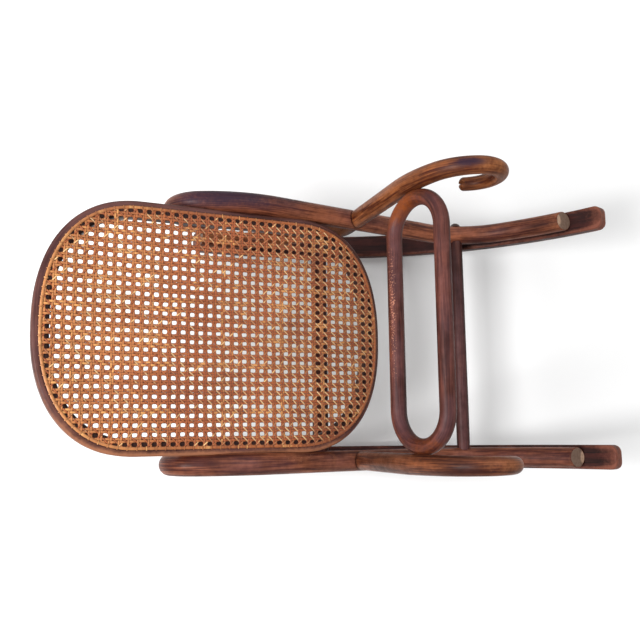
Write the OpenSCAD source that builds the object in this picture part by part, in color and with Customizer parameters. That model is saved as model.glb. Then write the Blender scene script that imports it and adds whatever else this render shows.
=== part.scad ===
// Rocking footstool of steam-bent rods with a hand-caned seat.
// Millimetres. +X points to the scroll end, +Z up, and the XZ plane is the plane of symmetry.
// Each side frame lies in one upright plane. Its rods are drawn there as chains of straight
// runs and bends, in [x, height, heading]. The origin is on the floor below the middle.

/* [Side frames] */
// Distance between the centre planes of the two side frames
frame_gap = 364; // [320:2:420]
// Depth of the flat housings that seat one round rod on another piece
housing = 1; // [0.6:0.1:1.5]
// Clearance round the ends, bolts and screws that sit in a bore
fit = 0.1; // [0.05:0.05:0.2]

/* [Runners] */
// Radius of the runners' underside
rock_r = 540; // [500:5:600]
// Width of a runner
runner_w = 36; // [32:1:42]
// Thickness of a runner
runner_t = 18; // [15:1:22]
// Angle from the lowest point to the back end, in degrees
runner_back = 29; // [28:1:34]
// Angle from the lowest point to the front tip, in degrees
runner_front = 47.5; // [45:0.5:52]
// Radius of the runners' four corners, seen from above
runner_corner = 11; // [6:1:14]
// Radius of the runners' long edges
runner_edge = 2.5; // [1.5:0.5:4]
// Depth of the patch worn flat where a runner rests
wear = 0.3; // [0.2:0.1:0.6]

/* [Seat rails] */
// Diameter of the seat rails
rail_d = 30; // [27:0.5:33]
// Angle of the rail's cut end above the runner's lowest point, in degrees
rail_foot_end = 41.5; // [38:0.5:43]
// Angle where the rail leaves the runner, in degrees
rail_foot_in = 29; // [27:0.5:31]
// Extra slant of the cut end, in degrees from square
rail_cut = 16; // [0:1:25]
// Radius of the bend from the foot into the sloping run
rail_bend_r = 110; // [100:1:125]
// Slope of the straight run, in degrees
rail_slope = 34; // [32:0.5:36]
// Length of the straight run
rail_run = 286; // [270:1:300]
// Radius of the shoulder under the seat
shoulder_r = 185; // [170:1:200]
// Radius of the curl at the free end
curl_r = 46; // [42:1:52]
// Turn of the curl, in degrees
curl_turn = 206; // [180:1:220]
// Bevel round the free end
rail_bevel = 1.5; // [1:0.5:3]

/* [Scroll rails] */
// Diameter of the scroll rails up to the scroll
scroll_d = 27; // [25:0.5:29]
// Diameter at the top of the scroll
crown_d = 23; // [20:0.5:25]
// Diameter at the scroll's free end
tip_d = 18; // [14:0.5:20]
// Angle of the rail's back end from the runner's lowest point, in degrees
scroll_foot_end = 28.5; // [27:0.5:29]
// Angle where the rail leaves the runner, in degrees
scroll_foot_in = 25; // [23:0.5:26]
// Radius of the bend above the foot
toe_r = 90; // [80:1:100]
// Slope of the low run, in degrees
low_slope = 20.6; // [18:0.1:24]
// Length of the low run
low_run = 111; // [100:1:120]
// Radius of the bend into the steep run
heel_r = 72; // [60:1:80]
// Slope of the steep run, in degrees
steep_slope = 69.5; // [66:0.5:73]
// Length of the steep run
steep_run = 190; // [180:1:200]
// Radius of the neck above the steep run
neck_r = 220; // [200:5:260]
// Heading at the top of the neck, in degrees
neck_end = 50; // [46:1:54]
// Radius of the scroll's rise
crown_r = 66; // [60:1:72]
// Radius of the scroll's outer end
nose_r = 33; // [30:1:36]
// Radius of the limb that turns back
hook_r = 41; // [37:1:45]
// Turn of the limb that turns back, in degrees
hook_turn = 88; // [75:1:95]

/* [Seat] */
// Length of the seat along its bent surface
seat_len = 494; // [480:1:510]
// Slope of the seat's flat part, in degrees
seat_slope = 25; // [23:0.5:27]
// Length along the seat from its high end to above the rails' shoulders
seat_reach = 215; // [200:1:225]
// Height of the ring's middle above the rails' shoulders
seat_lift = 4; // [2:0.5:7]
// Length from the high end to where the seat bends down
seat_flat = 380; // [370:1:400]
// Radius of the seat's bend
seat_bend_r = 455; // [400:5:520]
// Length of the rounded high end
high_end = 135; // [125:1:145]
// Length of the rounded low end
low_end = 140; // [130:1:142]
// Squareness of the rounded ends, where 2 is an ellipse
squareness = 2.3; // [2.1:0.05:2.6]
// Width of the ring's wood
ring_w = 22; // [20:0.5:26]
// Thickness of the ring's wood
ring_t = 25; // [22:0.5:28]
// Radius of the ring's edges
ring_edge = 5; // [3:0.5:7]
// Depth of the housing in the rails that takes the ring's side
ring_housing = 2; // [1:0.25:3]

/* [Cane] */
// Distance between the gaps of the weave, two hole pitches
gap_pitch = 24.6; // [22:0.1:28]
// Width of a gap of the weave
gap_w = 12; // [9:0.5:15]
// Thickness of the woven panel
panel_t = 1.5; // [1.2:0.1:2.5]
// Distance from the ring's outer edge to the panel's edge
panel_in = 8; // [7:0.5:9]
// Width of the binder strip
binder_w = 5; // [4:0.5:6]
// Thickness of the binder strip
binder_t = 1.4; // [1:0.1:2]

/* [Loop] */
// Diameter of the loop's rod
loop_d = 21; // [18:0.5:24]
// Radius of the loop's round ends
loop_end_r = 46; // [42:1:50]
// Slant of the loop's plane, in degrees
loop_slant = 55; // [50:1:60]
// Length along the neck from the steep run to the loop
loop_at = 32; // [24:1:38]
// Offset of the loop forward of the neck's middle
loop_shift = 4; // [0:0.5:5]
// Amount pared off the loop's ends where they seat
loop_pare = 0.8; // [0.5:0.1:1.2]

/* [Stretchers] */
// Diameter of the front stretcher
front_d = 21; // [18:0.5:23]
// Turn of the rails' foot bend at which the front stretcher meets them, in degrees
front_at = 35.3; // [30:0.1:42]
// Diameter of the rear stretcher
rear_d = 25; // [22:0.5:26]
// Length along the low run at which the rear stretcher meets the scroll rails
rear_at = 104; // [90:1:108]
// Depth of the stretchers' sockets
socket = 3; // [2:0.5:5]

/* [Fasteners] */
// Diameter of the stretcher bolts
bolt_d = 8; // [6:0.5:9]
// Length of bolt inside a stretcher
bolt_hold = 40; // [30:1:60]
// Diameter of the front bolts' heads
front_head_d = 17; // [15:0.5:19]
// Diameter of the rear bolts' heads
rear_head_d = 18.5; // [16:0.5:20]
// Height of the bolts' domed heads
head_h = 6; // [4:0.5:7]
// Diameter of the wood screws
screw_d = 4.5; // [3.5:0.5:5.5]
// Diameter of the wood screws' countersunk heads
screw_head_d = 9; // [8:0.5:10]
// Depth of the screw heads below the surface
screw_sink = 1; // [0.5:0.1:2]
// Length of screw in the piece that it holds
screw_bite = 14; // [10:1:16]

/* [Rest] */
// Turn of the whole footstool on its runners until it balances, in degrees
rest_turn = -0.95; // [-3:0.05:3]

/* [Hidden] */
$fn = 96;
// Sides of the swept rods
sweep_sides = 20;
// Most that a swept rod's facets fall short of its bends
sweep_error = 0.12;
// Steps round each rounded quarter of the seat
quarter_steps = 18;
// Steps along the seat's bend
bend_steps = 10;
// Points on each rounded edge of the ring's section
edge_points = 4;
// Length by which a cutter runs past what it cuts
past = 20;
// Fragments of a full circle on the large arcs
arc_fn = 240;

// Height of the rocker's centre, with the worn patch on the floor
rock_z = rock_r - wear;
runner_top_r = rock_r - runner_t;
frame_y = frame_gap / 2;
rail_r = rail_d / 2;
scroll_r = scroll_d / 2;

// State after a move from state s. A move is [0, length] for a straight run, or
// [radius, turn] for a bend, where a left turn is positive.
function go(s, m) = m[0] == 0
    ? [s[0] + m[1] * cos(s[2]), s[1] + m[1] * sin(s[2]), s[2]]
    : let (side = sign(m[1]), e = s[2] + m[1])
        [s[0] + side * m[0] * (sin(e) - sin(s[2])),
         s[1] - side * m[0] * (cos(e) - cos(s[2])),
         e];

// States at the start of each move and at the end of the last
function trail(s, moves, i = 0) = i >= len(moves)
    ? [s]
    : concat([s], trail(go(s, moves[i]), moves, i + 1));

function move_len(m) = m[0] == 0 ? m[1] : m[0] * abs(m[1]) * PI / 180;
function sum(v, n, i = 0) = i >= n ? 0 : v[i] + sum(v, n, i + 1);

// State on a circle about the rocker's centre, at an angle from straight down
function on_rocker(r, a) = [r * sin(a), rock_z - r * cos(a), a];

// Meeting point of the lines through two states
function meet(a, b) =
    let (det = sin(b[2] - a[2]),
         t = ((b[0] - a[0]) * sin(b[2]) - (b[1] - a[1]) * cos(b[2])) / det)
    go(a, [0, t]);

// Seat rail: foot on the runner, bend, straight run, shoulder and curl
rail_foot_r = runner_top_r - rail_r;
rail_start = on_rocker(rail_foot_r, rail_foot_end) + [0, 0, 180];
rail_moves = [
    [rail_foot_r, rail_foot_in - rail_foot_end],
    [rail_bend_r, -(rail_foot_in + rail_slope)],
    [0, rail_run],
    [shoulder_r, rail_slope],
    [curl_r, curl_turn]
];
rail_trail = trail(rail_start, rail_moves);
rail_tip = [[rail_bevel, rail_d - 2 * rail_bevel]];
shoulder = rail_trail[4];

// Scroll rail: foot, low run, steep run, then the tapering neck, crown, nose and hook
scroll_foot_r = runner_top_r - scroll_r;
scroll_start = on_rocker(scroll_foot_r, -scroll_foot_end);
stem_moves = [
    [scroll_foot_r, scroll_foot_end - scroll_foot_in],
    [toe_r, scroll_foot_in + low_slope],
    [0, low_run],
    [heel_r, steep_slope - low_slope],
    [0, steep_run]
];
stem_trail = trail(scroll_start, stem_moves);
scroll_moves = concat(stem_moves, [
    [neck_r, neck_end - steep_slope],
    [crown_r, -neck_end],
    [nose_r, -90],
    [hook_r, -hook_turn]
]);
// Lengths along the scroll rail to the neck, the top and the free end
scroll_lens = [for (m = scroll_moves) move_len(m)];
neck_s = sum(scroll_lens, 5);
crown_s = sum(scroll_lens, 7);
scroll_s = sum(scroll_lens, 9);

scroll_widths = [[neck_s, scroll_d], [crown_s, crown_d], [scroll_s, tip_d]];
scroll_tip = [for (a = [25, 50, 70, 84]) [tip_d / 2 * sin(a) * 0.7, tip_d * cos(a)]];

crossing = meet(rail_trail[2], stem_trail[4]);

// Loop: its centre in the frame's plane, and the plane that its ends seat on
loop_neck = go(stem_trail[5], [neck_r, -loop_at / neck_r * 180 / PI]);
loop_pos = [
    loop_neck[0] + loop_shift * sin(loop_neck[2]),
    loop_neck[1] - loop_shift * cos(loop_neck[2])
];
loop_rail_r = lookup(neck_s + loop_at, scroll_widths) / 2;
loop_seat = loop_rail_r - housing;
loop_half = frame_y - loop_seat;

// Stretchers: where they meet the rails
front_pos = go(rail_trail[1], [rail_bend_r, -front_at]);
rear_pos = go(stem_trail[2], [0, rear_at]);

// Seat: its high end, then its own axes along and square to the flat part
seat_origin = [
    shoulder[0] - seat_reach * cos(seat_slope),
    shoulder[1] + seat_reach * sin(seat_slope) + seat_lift
];
seat_half = frame_y - rail_r + ring_housing;

// Point of the bent seat at length p along it, offset y across it and height b above it
function bent(p, y, b) = p <= seat_flat
    ? [p, y, b]
    : let (a = (p - seat_flat) / seat_bend_r * 180 / PI)
        [seat_flat + (seat_bend_r + b) * sin(a), y, (seat_bend_r + b) * cos(a) - seat_bend_r];

// Distance along the flat part, and height above it, of a point [x, z] in the frame's plane
function along_seat(q) =
    (q[0] - seat_origin[0]) * cos(seat_slope) - (q[1] - seat_origin[1]) * sin(seat_slope);
function above_seat(q) =
    (q[0] - seat_origin[0]) * sin(seat_slope) + (q[1] - seat_origin[1]) * cos(seat_slope);

// One rounded quarter of the outline, as [point, inward direction] from the side to the end
function quarter(cx, ax, sx, sy, t) =
    let (u = pow(sin(t), 2 / squareness),
         v = pow(cos(t), 2 / squareness),
         gx = pow(u, squareness - 1) / ax,
         gy = pow(v, squareness - 1) / seat_half,
         g = norm([gx, gy]))
    [[cx + sx * ax * u, sy * seat_half * v], [-sx * gx / g, -sy * gy / g]];

// Lengths along the seat at which its bend has points
bend_marks = [
    for (i = [0:bend_steps]) seat_flat + (seat_len - seat_flat) * i / bend_steps
];

// Points on a straight side, at y, where the bend reaches into it
side_marks = [for (p = bend_marks) if (p > high_end && p < seat_len - low_end) p];
function side_points(y, marks) = [for (p = marks) [[p, y], [0, -sign(y)]]];
side_back = [for (i = [len(side_marks) - 1:-1:0]) side_marks[i]];

// The seat's outline, once round, starting on the far side
outline = [
    for (i = [0:quarter_steps])
        quarter(seat_len - low_end, low_end, 1, 1, 90 * i / quarter_steps),
    for (i = [quarter_steps - 1:-1:0])
        quarter(seat_len - low_end, low_end, 1, -1, 90 * i / quarter_steps),
    each side_points(-seat_half, side_back),
    for (i = [0:quarter_steps])
        quarter(high_end, high_end, -1, -1, 90 * i / quarter_steps),
    for (i = [quarter_steps - 1:-1:0])
        quarter(high_end, high_end, -1, 1, 90 * i / quarter_steps),
    each side_points(seat_half, side_marks)
];

// Section of the ring: a rounded rectangle, inward from the outline and above the middle
ring_section = [
    for (c = [[1, 1, 0], [0, 1, 90], [0, 0, 180], [1, 0, 270]])
        for (k = [0:edge_points - 1])
            let (a = c[2] + 90 * k / (edge_points - 1),
                 x = c[0] == 1 ? ring_w - ring_edge : ring_edge,
                 y = c[1] == 1 ? ring_t / 2 - ring_edge : ring_edge - ring_t / 2)
            [x + ring_edge * cos(a), y + ring_edge * sin(a)]
];

// Cane: heights of the panel and the binder over the ring's middle
panel_low = ring_t / 2 + fit;
panel_high = panel_low + panel_t;
binder_low = panel_high + fit;
binder_high = binder_low + binder_t;

// Points and faces of a skin over rings of points, closed to a loop or capped
function skin_faces(n, m, closed) = concat(
    [
        for (i = [0:(closed ? n : n - 1) - 1])
            for (k = [0:m - 1])
                let (j = (i + 1) % n, l = (k + 1) % m)
                each [
                    [i * m + k, i * m + l, j * m + k],
                    [i * m + l, j * m + l, j * m + k]
                ]
    ],
    closed ? [] : [
        [for (k = [m - 1:-1:0]) k],
        [for (k = [0:m - 1]) (n - 1) * m + k]
    ]
);

// Places children, drawn on the seat's own axes, in the model
module on_seat() {
    translate([seat_origin[0], 0, seat_origin[1]])
        rotate([0, seat_slope, 0])
            children();
}

// Stands a drawing of the side frame's plane upright at the left frame. The drawing's
// x and y become X and Z, and its z points inward.
module at_left() {
    translate([0, frame_y, 0])
        rotate([90, 0, 0])
            children();
}

// Side 1 is the left frame, at +Y, and side -1 is its mirror image
module on_side(side) {
    if (side > 0)
        children();
    else
        mirror([0, 1, 0])
            children();
}

// X of a point in the frame's plane once the model is turned to its balance
function rest_x(q) = q[0] * cos(rest_turn) + (q[1] - rock_z) * sin(rest_turn);

// Leftmost and rightmost points, to centre the model over the origin. The leftmost is
// on the rounded lower edge of the ring.
low_edge = [
    seat_origin[0] + ring_edge * cos(seat_slope) - (ring_t / 2 - ring_edge) * sin(seat_slope),
    seat_origin[1] - ring_edge * sin(seat_slope) - (ring_t / 2 - ring_edge) * cos(seat_slope)
];
left_x = rest_x(low_edge) - ring_edge;
right_x = rest_x(on_rocker(rock_r, runner_front));
mid_x = (left_x + right_x) / 2;

// Turns the model about the rocker's centre to its balance, with the middle at the origin
module at_rest() {
    translate([-mid_x, 0, rock_z])
        rotate([0, rest_turn, 0])
            translate([0, 0, -rock_z])
                children();
}

// Steps along one move, few on a gentle bend and one on a straight run
function steps(m) = m[0] == 0 ? 1 : ceil(abs(m[1]) / (2 * acos(1 - sweep_error / m[0])));

// Stations along a chain of moves, as [x, height, heading, length so far]
function stations(start, moves) =
    let (at = trail(start, moves), lens = [for (m = moves) move_len(m)])
    [
        for (i = [0:len(moves) - 1])
            let (n = steps(moves[i]))
            for (k = [(i == 0 ? 0 : 1):n])
                concat(
                    go(at[i], [moves[i][0], moves[i][1] * k / n]),
                    [sum(lens, i) + lens[i] * k / n]
                )
    ];

// Ring of points round a station, moved on by e. Its flats touch a circle of radius r.
function ring_at(s, r, e) = [
    for (k = [0:sweep_sides - 1])
        let (a = -360 * (k + 0.5) / sweep_sides, c = r * cos(a) / cos(180 / sweep_sides))
        [
            s[0] + e * cos(s[2]) - c * sin(s[2]),
            s[1] + e * sin(s[2]) + c * cos(s[2]),
            r * sin(a) / cos(180 / sweep_sides)
        ]
];

// Bent rod along a chain of moves. The widths are [length, diameter] pairs, and the
// tip is a list of [distance beyond the end, diameter].
module bent_rod(start, moves, widths, tip) {
    st = stations(start, moves);
    last = st[len(st) - 1];
    rings = [
        for (s = st)
            ring_at(s, lookup(s[3], widths) / 2, 0),
        for (t = tip)
            ring_at(last, t[1] / 2, t[0])
    ];
    polyhedron(
        points = [for (r = rings) each r],
        faces = skin_faces(len(rings), sweep_sides, false)
    );
}

// Wood screw from the origin along +z, its head's face at z = 0
module screw(length) {
    cone = (screw_head_d - screw_d) / 2;
    point = screw_d;
    difference() {
        union() {
            cylinder(d1 = screw_head_d, d2 = screw_d, h = cone);
            translate([0, 0, cone])
                cylinder(d = screw_d, h = length - cone - point);
            translate([0, 0, length - point])
                cylinder(d1 = screw_d, d2 = screw_d / 4, h = point);
        }
        translate([-screw_head_d, -screw_d / 10, -cone])
            cube([2 * screw_head_d, screw_d / 5, cone * 1.5]);
    }
}

// Bore for that screw, open above its head
module screw_bore(length) {
    cone = (screw_head_d - screw_d) / 2;
    translate([0, 0, -past])
        cylinder(d = screw_head_d + 2 * fit, h = past);
    cylinder(d1 = screw_head_d + 2 * fit, d2 = screw_d + 2 * fit, h = cone);
    translate([0, 0, cone])
        cylinder(d = screw_d + 2 * fit, h = length - cone + fit);
}

// Bolt from the origin along +z, with a domed head below z = 0
module bolt(head_d, length) {
    dome_r = (head_d * head_d / 4 + head_h * head_h) / (2 * head_h);
    intersection() {
        translate([0, 0, dome_r - head_h])
            sphere(r = dome_r);
        translate([0, 0, -head_h])
            cylinder(d = head_d, h = head_h);
    }
    cylinder(d = bolt_d, h = length);
}

// Seat and bore for a stretcher and its bolt in a rail of radius r, along the frame's z
module stretcher_seat(pos, r, d, head_d) {
    translate([pos[0], pos[1], 0]) {
        translate([0, 0, r - socket])
            cylinder(d = d + 2 * fit, h = past);
        translate([0, 0, -r - past])
            cylinder(d = bolt_d + 2 * fit, h = 2 * r + 2 * past);
        translate([0, 0, housing - r - past])
            cylinder(d = head_d + 2 * fit, h = past);
    }
}

// Half of a straight rod through the crossing, on the inner side (1) or the outer (-1)
module half_rod(heading, d, side) {
    translate([crossing[0], crossing[1], 0])
        rotate(heading)
            rotate([90, 0, 90])
                linear_extrude(height = 3 * d, center = true)
                    intersection() {
                        circle(d = d / cos(180 / sweep_sides));
                        translate([-d, side > 0 ? 0 : -d])
                            square([2 * d, d]);
                    }
}

// Axis of a screw up through the runner at an angle, from the runner's underside
module through_runner(angle) {
    translate([0, rock_z, 0])
        rotate(angle)
            translate([0, screw_sink - rock_r, 0])
                rotate([-90, 0, 0])
                    children();
}

foot_screw_len = runner_t - screw_sink + screw_bite;
rail_screw_angles = [
    rail_foot_in + (rail_foot_end - rail_foot_in) * 0.25,
    rail_foot_in + (rail_foot_end - rail_foot_in) * 0.75
];
scroll_screw_angle = -(scroll_foot_end + scroll_foot_in) / 2;

// Seat screws: one on the straight run near its top, one on the shoulder
seat_screw_marks = [
    go(rail_trail[2], [0, rail_run * 0.93]),
    go(rail_trail[3], [shoulder_r, rail_slope * 0.76])
];
function seat_screw_pos(i) =
    let (q = seat_screw_marks[i], b = above_seat(q) / 2)
    [q[0] - b * sin(seat_slope), q[1] - b * cos(seat_slope)];
ring_inner = rail_r - ring_housing + ring_w;
seat_screw_len = ring_w - screw_sink + screw_bite;

// Axis of a seat screw, from the ring's inner face outward
module at_seat_screw(i) {
    q = seat_screw_pos(i);
    translate([q[0], q[1], ring_inner - screw_sink])
        rotate([180, 0, 0])
            children();
}

// Axis of the loop screw, from the rail's outer side inward
loop_screw_len = loop_seat + loop_rail_r - screw_sink + screw_bite;
module at_loop_screw() {
    translate([loop_pos[0], loop_pos[1], screw_sink - loop_rail_r])
        children();
}

// Axis of the lap screw, from the scroll rail's inner side outward
lap_screw_len = scroll_r - screw_sink + screw_bite * 0.7;
module at_lap_screw() {
    translate([crossing[0], crossing[1], scroll_r - screw_sink])
        rotate([180, 0, 0])
            children();
}

module seat_ring_solid() {
    rings = [
        for (o = outline)
            [for (s = ring_section)
                bent(o[0][0] + s[0] * o[1][0], o[0][1] + s[0] * o[1][1], s[1])]
    ];
    polyhedron(
        points = [for (r = rings) each r],
        faces = skin_faces(len(rings), len(ring_section), true)
    );
}

module seat_ring() {
    color([0.36, 0.2, 0.12])
        at_rest()
            difference() {
                on_seat()
                    seat_ring_solid();
                for (side = [1, -1])
                    on_side(side)
                        at_left()
                            for (i = [0, 1])
                                at_seat_screw(i)
                                    screw_bore(seat_screw_len);
            }
}

// Outline inset by a distance, laid out flat as seen square to the seat
function inset(d, b) = [
    for (o = outline)
        let (q = bent(o[0][0] + d * o[1][0], o[0][1] + d * o[1][1], b))
        [q[0], q[1]]
];

// Whether a point lies inside the outline by at least a margin
function inside(p, y, margin) =
    let (end = p < high_end ? high_end : low_end,
         u = p < high_end ? high_end - p : p > seat_len - low_end ? p - (seat_len - low_end) : 0)
    pow(max(0, u) / (end - margin), squareness) + pow(abs(y) / (seat_half - margin), squareness) < 1;

module cane_gaps() {
    reach = ring_w + gap_w * 0.6;
    nx = floor(seat_len / gap_pitch);
    ny = floor(seat_half / gap_pitch);
    for (i = [0:nx])
        for (j = [-ny:ny]) {
            p = seat_len / 2 + (i - nx / 2) * gap_pitch;
            y = j * gap_pitch;
            if (inside(p, y, reach))
                translate([bent(p, y, panel_low)[0], y])
                    rotate(22.5)
                        circle(d = gap_w, $fn = 8);
        }
}

module cane_panel() {
    panel_marks = concat([0], bend_marks);
    profile = concat(
        [for (p = panel_marks) let (q = bent(p, 0, panel_low)) [q[0], q[2]]],
        [for (i = [len(panel_marks) - 1:-1:0])
            let (q = bent(panel_marks[i], 0, panel_high)) [q[0], q[2]]]
    );
    color([0.75, 0.4, 0.2])
        at_rest()
            on_seat()
                intersection() {
                    translate([0, 0, -seat_bend_r / 4])
                        linear_extrude(height = seat_bend_r / 2)
                            difference() {
                                polygon(inset(panel_in, panel_low));
                                cane_gaps();
                            }
                    rotate([90, 0, 0])
                        linear_extrude(height = 2 * seat_half, center = true)
                            polygon(profile);
                }
}

module cane_binder() {
    mid = panel_in + binder_w / 2;
    section = [
        [mid + binder_w / 2, binder_low],
        [mid + binder_w / 2, (binder_low + binder_high) / 2],
        [mid + binder_w / 4, binder_high],
        [mid - binder_w / 4, binder_high],
        [mid - binder_w / 2, (binder_low + binder_high) / 2],
        [mid - binder_w / 2, binder_low]
    ];
    rings = [
        for (o = outline)
            [for (s = section)
                bent(o[0][0] + s[0] * o[1][0], o[0][1] + s[0] * o[1][1], s[1])]
    ];
    color([0.85, 0.6, 0.3])
        at_rest()
            on_seat()
                polyhedron(
                    points = [for (r = rings) each r],
                    faces = skin_faces(len(rings), len(section), true)
                );
}

module seat_rail(side) {
    end = rail_trail[0];
    color([0.3, 0.16, 0.12])
        at_rest()
            on_side(side)
                at_left()
                    difference() {
                        bent_rod(rail_start, rail_moves, [[0, rail_d], [1, rail_d]], rail_tip);
                        translate([end[0], end[1], 0])
                            rotate(end[2] - 180 + rail_cut)
                                translate([0, -rail_d, -rail_d])
                                    cube([rail_d, 2 * rail_d, 2 * rail_d]);
                        half_rod(steep_slope, scroll_d, 1);
                        stretcher_seat(front_pos, rail_r, front_d, front_head_d);
                        for (i = [0, 1])
                            at_seat_screw(i)
                                screw_bore(seat_screw_len);
                        for (a = rail_screw_angles)
                            through_runner(a)
                                screw_bore(foot_screw_len);
                        at_lap_screw()
                            screw_bore(lap_screw_len);
                        translate([seat_origin[0], seat_origin[1], rail_r - ring_housing])
                            rotate(-seat_slope)
                                translate([high_end, -ring_t / 2 - fit, 0])
                                    cube([seat_flat - high_end, ring_t + 2 * fit, past]);
                    }
}

module scroll_rail(side) {
    color([0.28, 0.15, 0.12])
        at_rest()
            on_side(side)
                at_left()
                    difference() {
                        bent_rod(scroll_start, scroll_moves, scroll_widths, scroll_tip);
                        half_rod(180 - rail_slope, rail_d, -1);
                        stretcher_seat(rear_pos, scroll_r, rear_d, rear_head_d);
                        translate([loop_pos[0], loop_pos[1], loop_seat])
                            rotate(loop_neck[2])
                                translate([-loop_d * 0.6, -scroll_d, 0])
                                    cube([loop_d * 1.2, 2 * scroll_d, past]);
                        at_loop_screw()
                            screw_bore(loop_screw_len);
                        through_runner(scroll_screw_angle)
                            screw_bore(foot_screw_len);
                        at_lap_screw()
                            screw_bore(lap_screw_len);
                    }
}

// Rounded rectangle from squares and circles
module soft_rect(w, h, r) {
    square([w - 2 * r, h], center = true);
    square([w, h - 2 * r], center = true);
    for (x = [-1, 1])
        for (y = [-1, 1])
            translate([x * (w / 2 - r), y * (h / 2 - r)])
                circle(r = r);
}

// What comes off one corner of a runner's end, as seen from above
module corner_waste() {
    translate([-runner_corner, 0, runner_w / 2 - runner_corner])
        rotate([90, 0, 0])
            linear_extrude(height = 2 * runner_t, center = true)
                difference() {
                    square(runner_corner + past);
                    circle(r = runner_corner);
                }
}

module runner(side) {
    color([0.27, 0.14, 0.11])
        difference() {
            at_rest()
                on_side(side)
                    at_left()
                        translate([0, rock_z, 0])
                            difference() {
                                rotate(-90 - runner_back)
                                    rotate_extrude(angle = runner_back + runner_front, $fn = arc_fn)
                                        translate([rock_r - runner_t / 2, 0])
                                            soft_rect(runner_t, runner_w, runner_edge);
                                for (e = [[runner_front, 0], [-runner_back, 1]])
                                    for (m = [0, 1])
                                        rotate(e[0])
                                            translate([0, runner_t / 2 - rock_r, 0])
                                                mirror([e[1], 0, 0])
                                                    mirror([0, 0, m])
                                                        corner_waste();
                                translate([0, -rock_z, 0]) {
                                    for (a = rail_screw_angles)
                                        through_runner(a)
                                            screw_bore(foot_screw_len);
                                    through_runner(scroll_screw_angle)
                                        screw_bore(foot_screw_len);
                                }
                            }
            translate([-rock_r, -frame_gap, -past])
                cube([2 * rock_r, 2 * frame_gap, past]);
        }
}

module scroll_loop() {
    limb = loop_half + loop_pare - loop_d / 2 - loop_end_r;
    color([0.4, 0.24, 0.17])
        at_rest()
            difference() {
                translate([loop_pos[0], 0, loop_pos[1]])
                    rotate([0, -loop_slant, 0])
                        for (m = [0, 1])
                            mirror([0, m, 0]) {
                                for (x = [-1, 1])
                                    translate([x * loop_end_r, 0, 0])
                                        rotate([-90, 0, 0])
                                            cylinder(d = loop_d, h = limb);
                                translate([0, limb, 0])
                                    rotate_extrude(angle = 180)
                                        translate([loop_end_r, 0])
                                            circle(d = loop_d);
                            }
                for (side = [1, -1])
                    on_side(side) {
                        translate([loop_pos[0] - frame_gap, loop_half, loop_pos[1] - frame_gap])
                            cube([2 * frame_gap, past, 2 * frame_gap]);
                        at_left()
                            at_loop_screw()
                                screw_bore(loop_screw_len);
                    }
            }
}

// Round bar between the frames, with a bore in each end for its bolt
module stretcher(pos, r, d) {
    half = frame_y - r + socket;
    translate([pos[0], 0, pos[1]])
        rotate([90, 0, 0])
            difference() {
                cylinder(d = d, h = 2 * half, center = true);
                for (m = [0, 1])
                    mirror([0, 0, m])
                        translate([0, 0, half - bolt_hold])
                            cylinder(d = bolt_d + 2 * fit, h = bolt_hold + past);
            }
}

module front_stretcher() {
    color([0.3, 0.17, 0.12])
        at_rest()
            stretcher(front_pos, rail_r, front_d);
}

module rear_stretcher() {
    color([0.3, 0.17, 0.12])
        at_rest()
            stretcher(rear_pos, scroll_r, rear_d);
}

// Bolt through a rail of radius r into its stretcher
module stretcher_bolt(side, pos, r, head_d) {
    color([0.2, 0.14, 0.12])
        at_rest()
            on_side(side)
                at_left()
                    translate([pos[0], pos[1], housing - r])
                        bolt(head_d, 2 * r - housing - socket + bolt_hold - fit);
}

module seat_screw(side, i) {
    color([0.55, 0.5, 0.42])
        at_rest()
            on_side(side)
                at_left()
                    at_seat_screw(i)
                        screw(seat_screw_len);
}

module loop_screw(side) {
    color([0.55, 0.5, 0.42])
        at_rest()
            on_side(side)
                at_left()
                    at_loop_screw()
                        screw(loop_screw_len);
}

module lap_screw(side) {
    color([0.55, 0.5, 0.42])
        at_rest()
            on_side(side)
                at_left()
                    at_lap_screw()
                        screw(lap_screw_len);
}

module foot_screw(side, angle) {
    color([0.55, 0.5, 0.42])
        at_rest()
            on_side(side)
                at_left()
                    through_runner(angle)
                        screw(foot_screw_len);
}

seat_ring();
cane_panel();
cane_binder();
seat_rail(1);  // seat_rail_left
seat_rail(-1);  // seat_rail_right
scroll_rail(1);  // scroll_rail_left
scroll_rail(-1);  // scroll_rail_right
runner(1);  // runner_left
runner(-1);  // runner_right
scroll_loop();
front_stretcher();
rear_stretcher();
stretcher_bolt(1, front_pos, rail_r, front_head_d);  // front_bolt_left
stretcher_bolt(-1, front_pos, rail_r, front_head_d);  // front_bolt_right
stretcher_bolt(1, rear_pos, scroll_r, rear_head_d);  // rear_bolt_left
stretcher_bolt(-1, rear_pos, scroll_r, rear_head_d);  // rear_bolt_right
seat_screw(1, 0);  // seat_screw_low_left
seat_screw(-1, 0);  // seat_screw_low_right
seat_screw(1, 1);  // seat_screw_high_left
seat_screw(-1, 1);  // seat_screw_high_right
loop_screw(1);  // loop_screw_left
loop_screw(-1);  // loop_screw_right
lap_screw(1);  // lap_screw_left
lap_screw(-1);  // lap_screw_right
foot_screw(1, rail_screw_angles[0]);  // rail_foot_screw_in_left
foot_screw(-1, rail_screw_angles[0]);  // rail_foot_screw_in_right
foot_screw(1, rail_screw_angles[1]);  // rail_foot_screw_out_left
foot_screw(-1, rail_screw_angles[1]);  // rail_foot_screw_out_right
foot_screw(1, scroll_screw_angle);  // scroll_foot_screw_left
foot_screw(-1, scroll_screw_angle);  // scroll_foot_screw_right
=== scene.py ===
"""Rocking footstool of bent rods with a hand-caned seat, dressed over its CAD frame.

Everything is in metres, in the frame's own axes: +X points to the scroll end, +Y to the far side
frame and +Z up. The rods are drawn on their side frame's upright plane as runs and bends, and the
seat is drawn flat, then bent and laid on its slope.
"""

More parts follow.
